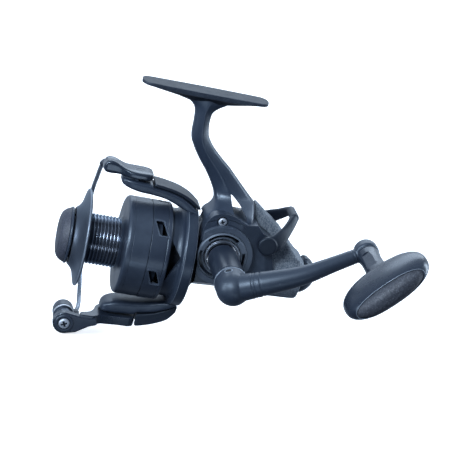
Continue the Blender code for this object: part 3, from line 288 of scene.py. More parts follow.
ALLOY = finish_material(
    "alloy_look", (0.44, 0.47, 0.52), (0.60, 0.63, 0.68), (0.26, 0.42), metallic=1.0, grain=1800, grain_depth=0.008,
    wear=0.3, wear_colour=(0.8, 0.82, 0.85), rings=700, rings_axis="Y",
)
FELT = finish_material(
    "felt_look", (0.10, 0.085, 0.07), (0.2, 0.175, 0.145), (0.9, 1.0), grain=700, grain_depth=0.12, cell=1600, cell_depth=0.08, mottle=400,
)
LOOK = {
    "satin_black": SATIN, "graphite_paint": GRAPHITE, "grained_cover": GRAIN, "soft_rubber": RUBBER, "anodised_black": ANODISED,
    "steel": STEEL, "wire_steel": WIRE, "brass": BRASS, "alloy": ALLOY, "drag_felt": FELT,
}


# ---- mesh helpers ----------------------------------------------------------------------
def solid(name, verts, faces):
    mesh = bpy.data.meshes.new(name)
    mesh.from_pydata([W(*v) for v in verts], [], faces)
    work = bmesh.new()
    work.from_mesh(mesh)
    bmesh.ops.remove_doubles(work, verts=work.verts, dist=2e-7)
    bmesh.ops.recalc_face_normals(work, faces=work.faces)
    work.to_mesh(mesh)
    work.free()
    made = bpy.data.objects.new(name, mesh)
    COL.objects.link(made)
    return made


def fillet(points, size, count=3, closed=True, keep=()):
    """Rounds the corners of an outline. Corners numbered in keep stay sharp."""
    total = len(points)
    out = []
    for i, p in enumerate(points):
        if (not closed and i in (0, total - 1)) or i in keep or p[0] == 0 and not closed:
            out.append(p)
            continue
        a, b, c = Vector(points[i - 1]), Vector(p), Vector(points[(i + 1) % total])
        u, v = a - b, c - b
        if u.length < 1e-6 or v.length < 1e-6 or u.angle(v) > math.radians(172):
            out.append(p)
            continue
        reach = min(size, u.length * 0.45, v.length * 0.45)
        s, e = b + u.normalized() * reach, b + v.normalized() * reach
        for k in range(count + 1):
            t = k / count
            q = s * (1 - t) ** 2 + b * 2 * t * (1 - t) + e * t * t
            out.append(tuple(q))
    return out


def arc(centre, radius, start, end, count):
    return [
        (
            centre[0] + radius * math.cos(math.radians(start + (end - start) * i / count)),
            centre[1] + radius * math.sin(math.radians(start + (end - start) * i / count)),
        )
        for i in range(count + 1)
    ]


def smooth(points, per_span=6):
    """Points along a Catmull-Rom curve through the given ones, of any dimension."""
    held = [points[0]] + list(points) + [points[-1]]
    path = []
    for a, b, c, d in zip(held, held[1:], held[2:], held[3:]):
        for step in range(per_span):
            t = step / per_span
            path.append(tuple(
                0.5 * (2 * q + (r - p) * t + (2 * p - 5 * q + 4 * r - s) * t * t + (3 * q - p - 3 * r + s) * t ** 3)
                for p, q, r, s in zip(a, b, c, d)
            ))
    path.append(tuple(points[-1]))
    return path


def prism(name, outline, plane, low, high):
    """Flat outline in the named plane, from low to high along the plane's normal."""
    def at(p, h):
        return {"XZ": (p[0], h, p[1]), "XY": (p[0], p[1], h), "YZ": (h, p[0], p[1])}[plane]

    count = len(outline)
    verts = [at(p, low) for p in outline] + [at(p, high) for p in outline]
    faces = [list(range(count)), list(range(count, 2 * count))]
    faces += [[i, (i + 1) % count, count + (i + 1) % count, count + i] for i in range(count)]
    return solid(name, verts, faces)


def lathe(name, profile, axis="X", at=(0, 0, 0), steps=96):
    """Profile of (radius, distance along the axis), turned about the axis through at."""
    verts, rows = [], []
    for radius, along in profile:
        row = []
        for k in range(1 if radius < 1e-6 else steps):
            t = 2 * math.pi * k / steps
            u, v = radius * math.cos(t), radius * math.sin(t)
            spot = {"X": (along, u, v), "Y": (u, along, v), "Z": (u, v, along)}[axis]
            row.append(len(verts))
            verts.append(tuple(s + o for s, o in zip(spot, at)))
        rows.append(row)
    pairs = list(zip(rows, rows[1:]))
    if len(rows[0]) > 1 or len(rows[-1]) > 1:
        pairs.append((rows[-1], rows[0]))
    faces = []
    for a, b in pairs:
        if len(a) == 1 and len(b) == 1:
            continue
        for k in range(steps):
            j = (k + 1) % steps
            if len(a) == 1:
                faces.append([a[0], b[j], b[k]])
            elif len(b) == 1:
                faces.append([a[k], a[j], b[0]])
            else:
                faces.append([a[k], a[j], b[j], b[k]])
    return solid(name, verts, faces)


def loft(name, rings):
    """Skin over rings of equal point count, with its two ends closed."""
    count = len(rings[0])
    verts = [p for ring in rings for p in ring]
    faces = [list(range(count)), list(range((len(rings) - 1) * count, len(rings) * count))]
    for r in range(len(rings) - 1):
        for k in range(count):
            j = (k + 1) % count
            faces.append([r * count + k, r * count + j, (r + 1) * count + j, (r + 1) * count + k])
    return solid(name, verts, faces)


def squircle(half_u, half_v, power, count):
    """Points of a superellipse, as (u, v)."""
    out = []
    for k in range(count):
        t = 2 * math.pi * k / count
        c, s = math.cos(t), math.sin(t)
        out.append((
            half_u * math.copysign(abs(c) ** (2 / power), c),
            half_v * math.copysign(abs(s) ** (2 / power), s),
        ))
    return out


def sweep(name, stations, wide=(0, 0, 1), power=2.0, count=24, round_ends=True):
    """Bar through (x, y, z, half width, half thickness); wide says which way its width lies."""
    points = [Vector(s[:3]) for s in stations]
    rings = []
    total = len(points)
    for i, p in enumerate(points):
        t = (points[min(i + 1, total - 1)] - points[max(i - 1, 0)]).normalized()
        u = Vector(wide) - t * Vector(wide).dot(t)
        u.normalize()
        v = t.cross(u)
        shape = squircle(stations[i][3], stations[i][4], power, count)
        ring = [p + u * a + v * b for a, b in shape]
        if round_ends and i in (0, total - 1):
            way = -1 if i == 0 else 1
            caps = []
            for share in (0.35, 0.68, 0.9):
                grow = math.sqrt(1 - share * share)
                shift = t * way * share * min(stations[i][3], stations[i][4]) * 0.6
                caps.append([p + shift + (q - p) * grow for q in ring])
            if i == 0:
                rings.extend(reversed(caps))
                rings.append(ring)
            else:
                rings.append(ring)
                rings.extend(caps)
        else:
            rings.append(ring)
    return loft(name, [[tuple(q) for q in ring] for ring in rings])


def bake(made):
    bpy.context.view_layer.update()
    graph = bpy.context.evaluated_depsgraph_get()
    mesh = bpy.data.meshes.new_from_object(made.evaluated_get(graph))
    made.modifiers.clear()
    made.data = mesh
    return made


def drop(*others):
    for other in others:
        bpy.data.objects.remove(other, do_unlink=True)


def boolean(target, how, *others, solver="EXACT"):
    for other in others:
        step = target.modifiers.new("shape", "BOOLEAN")
        step.operation = how
        step.object = other
        step.solver = solver
    bake(target)
    drop(*others)
    return target


def cut(target, *others, solver="EXACT"):
    return boolean(target, "DIFFERENCE", *others, solver=solver)


def add(target, *others, solver="EXACT"):
    return boolean(target, "UNION", *others, solver=solver)


def slab(point, normal, size=0.3):
    """Block that fills the far side of a plane, for slicing."""
    work = bmesh.new()
    bmesh.ops.create_cube(work, size=1.0)
    turn = Vector(normal).to_track_quat("Z", "Y").to_matrix().to_4x4()
    work.transform(
        Matrix.Translation(W(*point)) @ turn @ Matrix.Diagonal((size, size, 0.08, 1)) @ Matrix.Translation((0, 0, 0.5))
    )
    mesh = bpy.data.meshes.new("slab")
    work.to_mesh(mesh)
    work.free()
    made = bpy.data.objects.new("slab", mesh)
    COL.objects.link(made)
    return made


def clean(made, angle=0.6):
    work = bmesh.new()
    work.from_mesh(made.data)
    bmesh.ops.remove_doubles(work, verts=work.verts, dist=8e-6)
    bmesh.ops.dissolve_limit(work, angle_limit=math.radians(angle), verts=work.verts, edges=work.edges)
    bmesh.ops.dissolve_degenerate(work, dist=4e-6, edges=work.edges)
    work.to_mesh(made.data)
    work.free()
    return made


def soften(made, width, segments=3, angle=32.0):
    """Rounds the sharp edges in the mesh itself."""
    step = made.modifiers.new("edges", "BEVEL")
    step.width = width * MM
    step.segments = segments
    step.limit_method = "ANGLE"
    step.angle_limit = math.radians(angle)
    step.miter_outer = "MITER_ARC"
    step.use_clamp_overlap = True
    return bake(made)


def remesh(made, voxel, rounds=4, factor=0.5):
    step = made.modifiers.new("remesh", "REMESH")
    step.mode = "VOXEL"
    step.voxel_size = voxel * MM
    step.use_smooth_shade = True
    bake(made)
    if rounds:
        step = made.modifiers.new("smooth", "SMOOTH")
        step.factor = factor
        step.iterations = rounds
        bake(made)
    return made


def dress(made, body, look, nodes=(), crease=38.0, name=None):
    for face in made.data.polygons:
        face.use_smooth = True
    made.data.set_sharp_from_angle(angle=math.radians(crease))
    step = made.modifiers.new("normals", "WEIGHTED_NORMAL")
    step.keep_sharp = True
    step.weight = 60
    made.data.materials.clear()
    made.data.materials.append(look)
    for face in made.data.polygons:
        face.material_index = 0
    if name:
        made.name = name
    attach(made, body)
    if nodes:
        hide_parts(*nodes)
    return made


# ---- foot and stem ---------------------------------------------------------------------
def ease(t):
    t = max(0.0, min(1.0, t))
    return t * t * (3 - 2 * t)


def between(table, x):
    for (a, p), (b, q) in zip(table, table[1:]):
        if a <= x <= b:
            return p + (q - p) * (x - a) / (b - a)
    return table[0][1] if x < table[0][0] else table[-1][1]


FOOT_X, FOOT_HALF, FOOT_TOP = -24.6, 34.0, 92.8
BELLY = [(-58.6, 90.9), (-54, 90.2), (-50.6, 89.6), (-44, 88.7), (-38.6, 87.9), (-31.6, 86.3), (-17.6, 86.3), (-9.6, 87.5), (-3, 88.8), (1.4, 89.6), (5, 90.2), (9.4, 90.9)]


def foot_ring(x):
    away = abs(x - FOOT_X)
    half = 7.75 - 0.9 * (away / FOOT_HALF) ** 2
    end = 5.0
    if away > FOOT_HALF - end:
        half *= max(0.0, 1 - ((away - FOOT_HALF + end) / end) ** 2.6) ** (1 / 2.6)
    half = max(half, 0.3)
    edge = 2.7 - 1.2 * (away / FOOT_HALF) ** 2
    belly = min(between(BELLY, x), FOOT_TOP - edge - 0.25)
    lip = min(0.42, half * 0.4)
    keel = min(half * 0.62, 5.6)
    side = [
        (half - lip * 1.6, FOOT_TOP), (half - lip, FOOT_TOP - 0.01), (half - lip * 0.28, FOOT_TOP - 0.28 * lip),
        (half, FOOT_TOP - lip), (half, FOOT_TOP - edge + 0.35), (half - 0.2 * lip, FOOT_TOP - edge + 0.1), (half - 0.8 * lip, FOOT_TOP - edge),
        (keel + (half - lip - keel) * 0.5, FOOT_TOP - edge - (FOOT_TOP - edge - belly) * 0.22), (keel, belly + (FOOT_TOP - edge - belly) * 0.36),
        (keel * 0.72, belly + (FOOT_TOP - edge - belly) * 0.08), (keel * 0.35, belly),
    ]
    return [(x, -y, z) for y, z in side] + [(x, y, z) for y, z in reversed(side)]


stations = [-FOOT_HALF + 5.0 - 5.0 * math.sin(math.radians(90 - a)) for a in (2, 8, 15, 23, 32, 42, 53, 65, 78)]
stations += [-FOOT_HALF + 5.0 + (2 * FOOT_HALF - 10.0) * k / 40 for k in range(41)]
stations += [-s for s in stations[8::-1]]
foot = loft("foot_plate", [foot_ring(FOOT_X + s) for s in stations])
dress(foot, "frame", FOOT, ["body_housing"], crease=40)

STEM_PAIRS = [
    ((-37.0, 89.0), (-8.6, 89.0), 5.4, 5.4, 0.5, 1.0), ((-33.2, 86.6), (-11.8, 86.7), 5.5, 5.5, 0.5, 1.0), ((-30.2, 84.6), (-15.2, 84.8), 5.6, 5.6, 0.5, 1.0),
    ((-28.3, 81.4), (-18.3, 81.8), 5.7, 5.7, 0.52, 1.0), ((-27.6, 75.4), (-19.0, 77.4), 5.8, 5.8, 0.55, 1.0), ((-27.4, 69.8), (-18.6, 72.7), 5.8, 5.8, 0.57, 1.0),
    ((-26.5, 65.5), (-17.6, 68.9), 5.8, 5.8, 0.55, 1.0), ((-24.8, 62.4), (-16.0, 66.0), 5.8, 5.8, 0.52, 1.0), ((-22.9, 59.3), (-12.8, 62.2), 5.8, 5.8, 0.50, 1.0),
    ((-19.2, 54.3), (-7.4, 57.3), 5.8, 5.8, 0.49, 1.0), ((-15.1, 49.4), (-2.4, 53.2), 5.9, 5.8, 0.48, 1.0), ((-11.7, 44.6), (4.7, 46.4), 6.4, 5.8, 0.47, 0.95),
    ((-9.2, 40.4), (11.9, 39.6), 7.9, 5.9, 0.46, 0.8), ((-7.9, 37.0), (14.6, 37.0), 10.4, 6.0, 0.46, 0.6), ((-7.9, 34.4), (15.0, 34.4), 13.8, 6.2, 0.46, 0.45),
    ((-9.0, 32.0), (15.0, 31.8), 16.8, 6.4, 0.46, 0.36), ((-11.4, 29.6), (15.0, 29.4), 18.2, 6.4, 0.46, 0.3), ((-12.6, 27.6), (15.0, 27.4), 18.6, 6.4, 0.46, 0.3),
]


def stem_ring(fx, fz, rx, rz, near_half, far_half, ridge, flat):
    front = [(0.0, 0.0), (0.012, 0.22), (0.045, 0.42), (0.10, 0.58), (0.17, 0.69), (ridge * 0.6, 0.84), (ridge - 0.06, 0.965), (ridge - 0.02, 0.995)]
    back = [(ridge + 0.02, 1.0), (ridge + 0.06, 0.975), (ridge + (0.9 - ridge) * 0.5, 0.83), (0.9, 0.62), (0.955, 0.48), (0.985, 0.28), (1.0, 0.0)]
    near = [(u, -(h ** flat) * near_half) for u, h in front + back]
    far = [(u, h * far_half) for u, h in reversed((front + back)[1:-1])]
    return [(fx + (rx - fx) * u, y, fz + (rz - fz) * u) for u, y in near + far]


rows = smooth([(*a, *b, h, k, r, q) for a, b, h, k, r, q in STEM_PAIRS], 6)
stem = loft("stem", [stem_ring(*row) for row in rows])
cut(stem, lathe("gear_disc_room", [(0, -9.3), (18.6, -9.3), (18.6, 0.4), (0, 0.4)], "Y", (0, 0, 10.5), 96))
WINDOW = [(-0.1, 41.1), (1.5, 35.5), (3.4, 29.9), (10.4, 29.9), (9.6, 32.0), (5.5, 36.7), (2.2, 39.4)]
cut(stem, prism("window", fillet(WINDOW, 0.8, 3), "XZ", -25, 25))
clean(stem, 0.2)
soften(stem, 0.35, 3, 42)
dress(stem, "frame", STEM, crease=34)

# ---- far half of the gear case ---------------------------------------------------------
SEAM = [(16.4, 29.4), (20.3, 25.4), (25.5, 23.0), (27.6, 19.4), (28.2, 14.4), (31.0, 5.0), (32.6, -4.0), (33.2, -13.6)]
OUTLINE = [(-10.6, -13.6), (-10.6, 26.5)] + arc(AXLE, 21.2, 122, 57, 30)[1:] + SEAM


def taper(side):
    flank = [(8.0, 19.5 * side), (52.0, 11.6 * side), (90.0, 4.8 * side), (90.0, 40.0 * side), (8.0, 40.0 * side)]
    return prism("taper", flank, "XY", -40, 60)


def keel(side):
    return slab((0, 6.0 * side, -13.5), (0.068, 0.5 * side, -1.0))


def brow(height):
    return slab((-10.9, 0, height), (-1.26, 0.602, 1.0))


def wheel_space():
    """Rooms and bores for the gears, the axle bearings and the shafts."""
    return [
        lathe("gear_disc_room", [(0, -9.3), (18.6, -9.3), (18.6, 0.4), (0, 0.4)], "Y", (0, 0, 10.5), 96),
        lathe("bearing_room", [(0, -13.5), (9.15, -13.5), (9.15, 17.4), (0, 17.4)], "Y", (0, 0, 10.5), 64),
        lathe("pinion_bore", [(0, -18.0), (5.0, -18.0), (5.0, -8.0), (0, -8.0)], "X", (0, 0, 0), 48),
        lathe("lever_bore", [(0, -24.0), (2.2, -24.0), (2.2, 24.0), (0, 24.0)], "Y", (23.55, 0, 19.65), 32),
        lathe("wheel_room", [(0, 5.2), (12.2, 5.2), (12.2, 10.1), (0, 10.1)], "Y", (16.5, 0, 4.4), 72),
        lathe("wheel_pin_bore", [(0, 10.0), (2.3, 10.0), (2.3, 14.8), (0, 14.8)], "Y", (16.5, 0, 4.4), 32),
    ]


def gear_space(low, high):
    """Rooms inside the case that hold the gears and the crosshead."""
    upper = [(-8.8, -6.0), (-8.8, 22.0)] + arc(AXLE, 17.8, 128, 52, 24) + [(20.0, 20.6), (24.2, 18.0), (25.2, 12.0), (28.0, 4.0), (29.4, -6.0)]
    lower = [(-8.8, -10.2), (-8.8, 7.4), (36.0, 7.4), (36.0, -10.2)]
    return [prism("room", upper, "XZ", max(low, -12.2), min(high, 12.2)), prism("room", lower, "XZ", max(low, -8.8), min(high, 8.8))]


case = prism("case_far", OUTLINE, "XZ", 0.0, 17.0)
cut(case, taper(1), keel(1), brow(24.0), slab((0, 0, 31.7), (0, 0.335, 1.0)))
boss = lathe("far_boss", [(0, 14.0), (10.5, 14.0), (10.5, 19.2), (0, 19.2)], "Y", (0, 0, 10.5), 64)
add(case, boss)
cut(case, lathe("far_bore", [(0, 17.2), (9.2, 17.2), (9.2, 24.0), (0, 24.0)], "Y", (0, 0, 10.5), 64))
soften(clean(case), 0.9, 3, 28)
cut(case, *gear_space(-1.0, 30.0), *wheel_space())
dress(case, "frame", GRAPHITE, crease=36)
socket = lathe(
    "far_socket_cap",
    fillet([(0, 17.4), (8.9, 17.4), (8.9, 19.6), (10.2, 19.6), (10.2, 20.9), (9.3, 21.8), (5.2, 22.05), (4.8, 21.6), (3.4, 21.6), (3.0, 22.1), (0, 22.2)], 0.35, 3, False),
    "Y", (0, 0, 10.5), 72,
)
for index in range(12):
    t = math.radians(30 * index)
    cut(socket, lathe("nick", [(0, 20.0), (0.7, 20.0), (0.7, 23.0), (0, 23.0)], "Y", (10.5 * math.cos(t), 0, 10.5 + 10.5 * math.sin(t)), 12))
dress(socket, "frame", SATIN, ["handle_socket_cap"])

# ---- handle-side cover -----------------------------------------------------------------
COVER_EDGE = smooth([(-10.7, -13.6), (-11.2, 0.0), (-12.0, 12.0), (-12.6, 19.0), (-12.3, 24.0), (-10.9, 28.4), (-8.2, 31.6), (-4.2, 33.1), (0.6, 33.0), (5.6, 31.4), (11.0, 28.9)], 5)
cover = prism("side_cover_shell", COVER_EDGE + SEAM, "XZ", -19.5, -0.3)
cut(cover, taper(-1), keel(-1))
SCREWS = {"cover_screw_top": (-3.3, 28.6), "cover_screw_rear": (26.4, -1.6), "cover_screw_front": (14.2, -3.2)}


def flank_face(x):
    return -19.5 if x < 8 else -(19.5 - (x - 8) * 7.9 / 44)


soften(clean(cover), 1.5, 5, 25)
# raised ring round the bearing boss, in a lighter grey that is a painted reflection of the bright sky on its top
boss = prism("cover_boss", arc(AXLE, 16.6, -136, 136, 72), "XZ", -22.3, -16.0)
cut(boss, lathe("boss_bore", [(0, -27.0), (13.6, -27.0), (13.6, -10.0), (0, -10.0)], "Y", (0, 0, 10.5), 96))
soften(clean(boss, 0.2), 0.45, 3, 40)
dress(boss, "frame", SHEEN_GREY, crease=36, name="cover_boss_ring")
cut(cover, lathe("cover_bore", [(0, -26.0), (13.5, -26.0), (13.5, -16.6), (9.3, -16.6), (9.3, -13.0), (0, -13.0)], "Y", (0, 0, 10.5), 96))
for label, (x, z) in SCREWS.items():
    face = flank_face(x)
    cut(cover, lathe("sink", [(0, face - 5), (3.2, face - 5), (3.2, face), (2.9, face + 0.35), (2.9, face + 1.0), (0, face + 1.0)], "Y", (x, 0, z), 40))
# a fine groove follows the cover's top edge, and a small round drain hole sits under the screw
groove = prism("cover_groove", arc(AXLE, 20.1, 128, 60, 40) + arc(AXLE, 19.7, 60, 128, 40), "XZ", -25, -19.0)
cut(cover, groove)
cut(cover, lathe("drain", [(0, -25), (0.75, -25), (0.75, -18.2), (0, -18.2)], "Y", (-2.9, 0, 25.2), 20))
cut(cover, *gear_space(-30.0, 1.0), *wheel_space())
dress(cover, "frame", GRAPHITE, ["side_cover"], crease=36)


def cross_screw(label, x, z, face, radius, body, proud=0.9, nodes=()):
    """Pan-head screw with a cross recess, its axis along Y; a near-black bed in the recess is painted shade."""
    dome = [(0, face - proud), (radius * 0.45, face - proud * 0.97), (radius * 0.78, face - proud * 0.8), (radius * 0.95, face - proud * 0.45), (radius, face), (radius, face + 0.6), (0, face + 0.6)]
    made = lathe(label + "_head", fillet(dome, 0.25, 3, False), "Y", (x, 0, z), 48)
    recess = None
    for turn in (25, 115):
        t = math.radians(turn)
        long, wide = radius * 0.60, radius * 0.20
        corners = [
            (x + a * long * math.cos(t) - b * wide * math.sin(t), z + a * long * math.sin(t) + b * wide * math.cos(t))
            for a, b in ((-1, -1), (1, -1), (1, 1), (-1, 1))
        ]
        cut(made, prism("slot", corners, "XZ", face - proud - 1, face + 0.2))
        # near-black bed in the bottom of the cross recess: painted shade
        bed = prism("bed", corners, "XZ", face - proud * 0.45, face + 0.3)
        recess = bed if recess is None else add(recess, bed) or recess
    soften(clean(made, 0.2), 0.07, 2, 45)
    dress(clean(recess, 0.1), body, DARK)
    return dress(made, body, SCREWLOOK, nodes)


for label, (x, z) in SCREWS.items():
    cross_screw(label, x, z, flank_face(x) + 0.35, 2.3, "frame", nodes=[label])

cap = lathe(
    "bearing_cap_ring",
    fillet([(9.9, -22.6), (10.3, -22.6), (10.5, -23.1), (12.7, -23.3), (13.4, -22.8), (13.4, -20.7), (9.9, -20.7)], 0.2, 3),
    "Y", (0, 0, 10.5), 120,
)
for middle in (95, 215, 335):
    band = arc(AXLE, 12.6, middle - 44, middle + 44, 30) + arc(AXLE, 10.8, middle + 44, middle - 44, 30)
    cut(cap, prism("cap_window", band, "XZ", -26, -19.5))
soften(clean(cap, 0.2), 0.14, 2, 45)
dress(cap, "frame", RINGGREY, ["side_bearing_cap"])

# nose shell in near-black: painted shade inside the rotor
nose = lathe(
    "nose_shell",
    fillet([(5.3, -19.0), (5.3, -11.0), (17.6, -11.0), (17.6, -13.6), (23.6, -13.8), (24.6, -14.6), (24.6, -17.2), (20.6, -17.2), (20.6, -21.2), (16.8, -21.2), (16.8, -33.2), (13.8, -33.2), (13.8, -23.2), (8.6, -23.2), (8.6, -19.0)], 0.5, 3),
    "X", steps=120,
)
cut(nose, lathe("gear_room", [(0, -9.3), (19.0, -9.3), (19.0, 0.4), (0, 0.4)], "Y", (0, 0, 10.5), 64))
dress(nose, "frame", DARK, ["nose_housing"])

# ---- rear cover and its knob -----------------------------------------------------------
REAR_TOP = [(13.0, 38.4), (15.6, 36.5), (20.4, 32.8), (27.1, 28.4), (33.5, 23.7), (38.2, 18.9), (43.8, 13.6), (47.6, 10.6), (49.6, 8.6)]
REAR_SEAM = [(33.35, -16.0), (33.35, -13.6), (32.75, -4.0), (31.15, 5.1), (28.35, 14.5), (27.75, 19.5), (25.6, 23.15), (20.45, 25.55), (16.55, 29.5), (15.6, 32.6), (15.5, 35.0), (16.0, 36.2), (17.4, 38.5)]


def tail_ring(x, shrink=0.0):
    """Section of the tail at x, as points spaced evenly round it."""
    top = between(REAR_TOP, x) - shrink
    low = -12.9 + (0.7 if x > 47 else 0.0) * (x - 47) / 2.6 + shrink
    side = 19.3 - (x - 8) * 7.9 / 44 - shrink

    def limit(z):
        return min(side, 11.3 - (z - 9.0) * 7.2 / 28.0 - shrink)

    half = [(0.0, low), (side * 0.62, low + 0.2), (side * 0.93, low + 5.2), (side, low + 9.5), (min(side, limit(6.0) + 1.2), 5.0)]
    if top > 11.5:
        half += [(limit(9.5), 9.5), (limit(top - 1.0), top - 1.2), (limit(top) * 0.45, top), (0.0, top)]
    else:
        half += [(limit(7.6), 7.4), (limit(9.0) * 0.6, top), (0.0, top)]
    half = smooth(half, 8)
    outline = [(-y, z) for y, z in half] + [(y, z) for y, z in reversed(half[1:-1])]
    gone = [0.0]
    for a, b in zip(outline, outline[1:] + outline[:1]):
        gone.append(gone[-1] + math.dist(a, b))
    ring, step = [], 0
    for k in range(96):
        want = gone[-1] * k / 96
        while gone[step + 1] < want:
            step += 1
        a, b = outline[step], outline[(step + 1) % len(outline)]
        t = (want - gone[step]) / max(1e-9, gone[step + 1] - gone[step])
        ring.append((x, a[0] + (b[0] - a[0]) * t, a[1] + (b[1] - a[1]) * t))
    return ring


rear = loft("rear_cover_shell", [tail_ring(13.5 + 0.9 * k) for k in range(40)] + [tail_ring(49.1, 0.25), tail_ring(49.4, 0.7), tail_ring(49.6, 1.4)])
cut(rear, prism("front_of_seam", [(5.0, -20.0)] + REAR_SEAM + [(5.0, 42.0)], "XZ", -30, 30))
cut(rear, lathe("rear_bore", [(0, 43.0), (3.9, 43.0), (3.9, 60.0), (0, 60.0)], "X", steps=40))
clean(rear, 0.05)
soften(rear, 0.5, 3, 50)
cut(rear, prism("rear_room", [(20.0, -9.8), (41.6, -9.8), (41.6, 7.6), (37.0, 7.6), (33.5, 13.0), (24.0, 16.0)], "XZ", -8.6, 8.6))
dress(rear, "frame", GRAIN, ["rear_cover"], crease=44)
# bright turned rim round the tail, under the knob
rim = lathe("tail_rim", fillet([(8.4, 49.45), (9.5, 49.45), (9.5, 49.75), (8.4, 49.75)], 0.1, 2), "X", steps=72)
dress(rim, "frame", RINGGREY)

knob = lathe(
    "tension_knob",
    fillet([(0, 42.5), (3.5, 42.5), (3.5, 49.9), (9.6, 49.9), (10.5, 50.5), (10.5, 51.3), (10.2, 52.2), (9.2, 53.9), (7.7, 55.6), (5.8, 57.1), (3.4, 57.9), (3.1, 57.6), (2.2, 57.6), (1.9, 58.1), (0, 58.3)], 0.4, 3, False),
    "X", steps=120,
)
for index in range(18):
    t = math.radians(20 * index + 10)
    wide = 1.15 if index % 3 == 0 else 0.75
    cut(knob, lathe("flute", [(0, 50.4), (wide, 50.4), (wide, 56.4), (0, 57.2)], "X", (0, 10.75 * math.cos(t), 10.75 * math.sin(t)), 20))
dress(knob, "tension_adjuster", SATIN, ["rear_tension_knob"], crease=30)

# ---- freespool lever -------------------------------------------------------------------
lever_rows = []
for side in (-1, 1):
    lever_rows.append(smooth([
        (23.5, 19.7 * side, 19.7, 5.1, 1.6), (25.6, 19.65 * side, 20.6, 5.0, 1.6), (28.2, 18.9 * side, 22.3, 4.5, 1.55), (31.2, 16.2 * side, 25.2, 3.8, 1.6),
        (34.2, 12.2 * side, 28.4, 3.1, 1.8), (36.6, 8.2 * side, 31.6, 2.6, 2.1), (37.8, 5.4 * side, 33.2, 2.4, 2.3),
    ], 6))
near = sweep("lever_body", lever_rows[0], (0.6, 0, -0.8), 2.6, 28)
far = sweep("lever_far", lever_rows[1], (0.6, 0, -0.8), 2.6, 28)
bar = lathe("lever_bar", fillet([(0, -7.0), (2.1, -7.0), (2.5, -6.4), (2.5, 6.4), (2.1, 7.0), (0, 7.0)], 0.6, 4, False), "Y", (37.8, 0, 33.2), 40)
discs = [
    lathe("lever_disc", fillet([(0, low), (4.6, low), (5.2, low + 0.6), (5.2, high - 0.6), (4.6, high), (0, high)], 0.4, 3, False), "Y", (23.5, 0, 19.7), 56)
    for low, high in ((-21.4, -18.1), (18.1, 21.4))
]
add(near, far, bar, *discs)
remesh(near, 0.3, 3, 0.5)
dress(near, "freespool", LEVERLOOK, ["freespool_lever"], crease=60)
# ---- handle ----------------------------------------------------------------------------
shank = lathe(
    "handle_shank_body",
    fillet([(0, 16.0), (2.55, 16.0), (2.55, -24.4), (7.4, -24.9), (8.0, -25.4), (8.0, -54.0), (7.75, -54.3), (7.75, -54.8), (8.0, -55.1), (8.0, -57.2), (3.9, -57.2), (3.9, -64.0), (0, -64.0)], 0.25, 3, False),
    "Y", (0, 0, 10.5), 96,
)
dress(shank, "handle", SATIN, ["handle_shank"])
collar = lathe(
    "shank_collar_ring",
    fillet([(8.35, -22.6), (9.6, -22.6), (9.6, -23.4), (9.25, -23.55), (9.25, -23.8), (9.6, -23.95), (9.6, -24.6), (9.3, -24.9), (8.35, -24.9)], 0.12, 2),
    "Y", (0, 0, 10.5), 96,
)
dress(collar, "handle", COLLARLOOK, ["shank_collar"])

ARM_ROWS = smooth([
    (0.0, -65.5, 10.5, 7.3, 7.3), (12.6, -69.6, 17.2, 6.3, 6.3), (30.6, -71.5, 25.6, 5.0, 5.0), (47.0, -69.4, 34.4, 4.0, 4.0), (62.3, -66.0, 42.2, 3.7, 3.7),
], 14)
arm = sweep("handle_arm_body", ARM_ROWS, (0, 1, 0), 2.0, 48)
dome = [(8.7 * math.sin(math.radians(t)), -65.5 - 8.7 * math.cos(math.radians(t))) for t in range(0, 90, 6)]
knuckle = lathe("knuckle", dome + [(8.7, -58.2), (8.3, -57.6), (0, -57.6)], "Y", (0, 0, 10.5), 64)
eye = lathe(
    "arm_eye", fillet([(0, -70.0), (5.4, -70.0), (6.3, -69.0), (6.3, -63.6), (5.2, -62.0), (0, -61.6)], 1.2, 5, False),
    "Y", (62.3, 0, 42.2), 64,
)
add(arm, knuckle, eye)
remesh(arm, 0.34, 6, 0.5)


def ring_grooves(made, rows, marks):
    """Presses fine rings into a bar at the given distances along its path."""
    points = [W(*r[:3]) for r in rows]
    length = [0.0]
    for a, b in zip(points, points[1:]):
        length.append(length[-1] + (b - a).length / MM)
    for far_along, depth, width in marks:
        index = min(range(len(length)), key=lambda i: abs(length[i] - far_along))
        index = max(1, min(len(points) - 2, index))
        centre = points[index]
        way = (points[index + 1] - points[index - 1]).normalized()
        reach = rows[index][3] * 1.5 * MM
        for vert in made.data.vertices:
            off = vert.co - centre
            along = off.dot(way)
            out = off - way * along
            if abs(along) < width * 1.6 * MM and 1e-6 < out.length < reach:
                vert.co -= out.normalized() * depth * MM * math.exp(-((along / MM) / (width * 0.5)) ** 2)
    made.data.update()


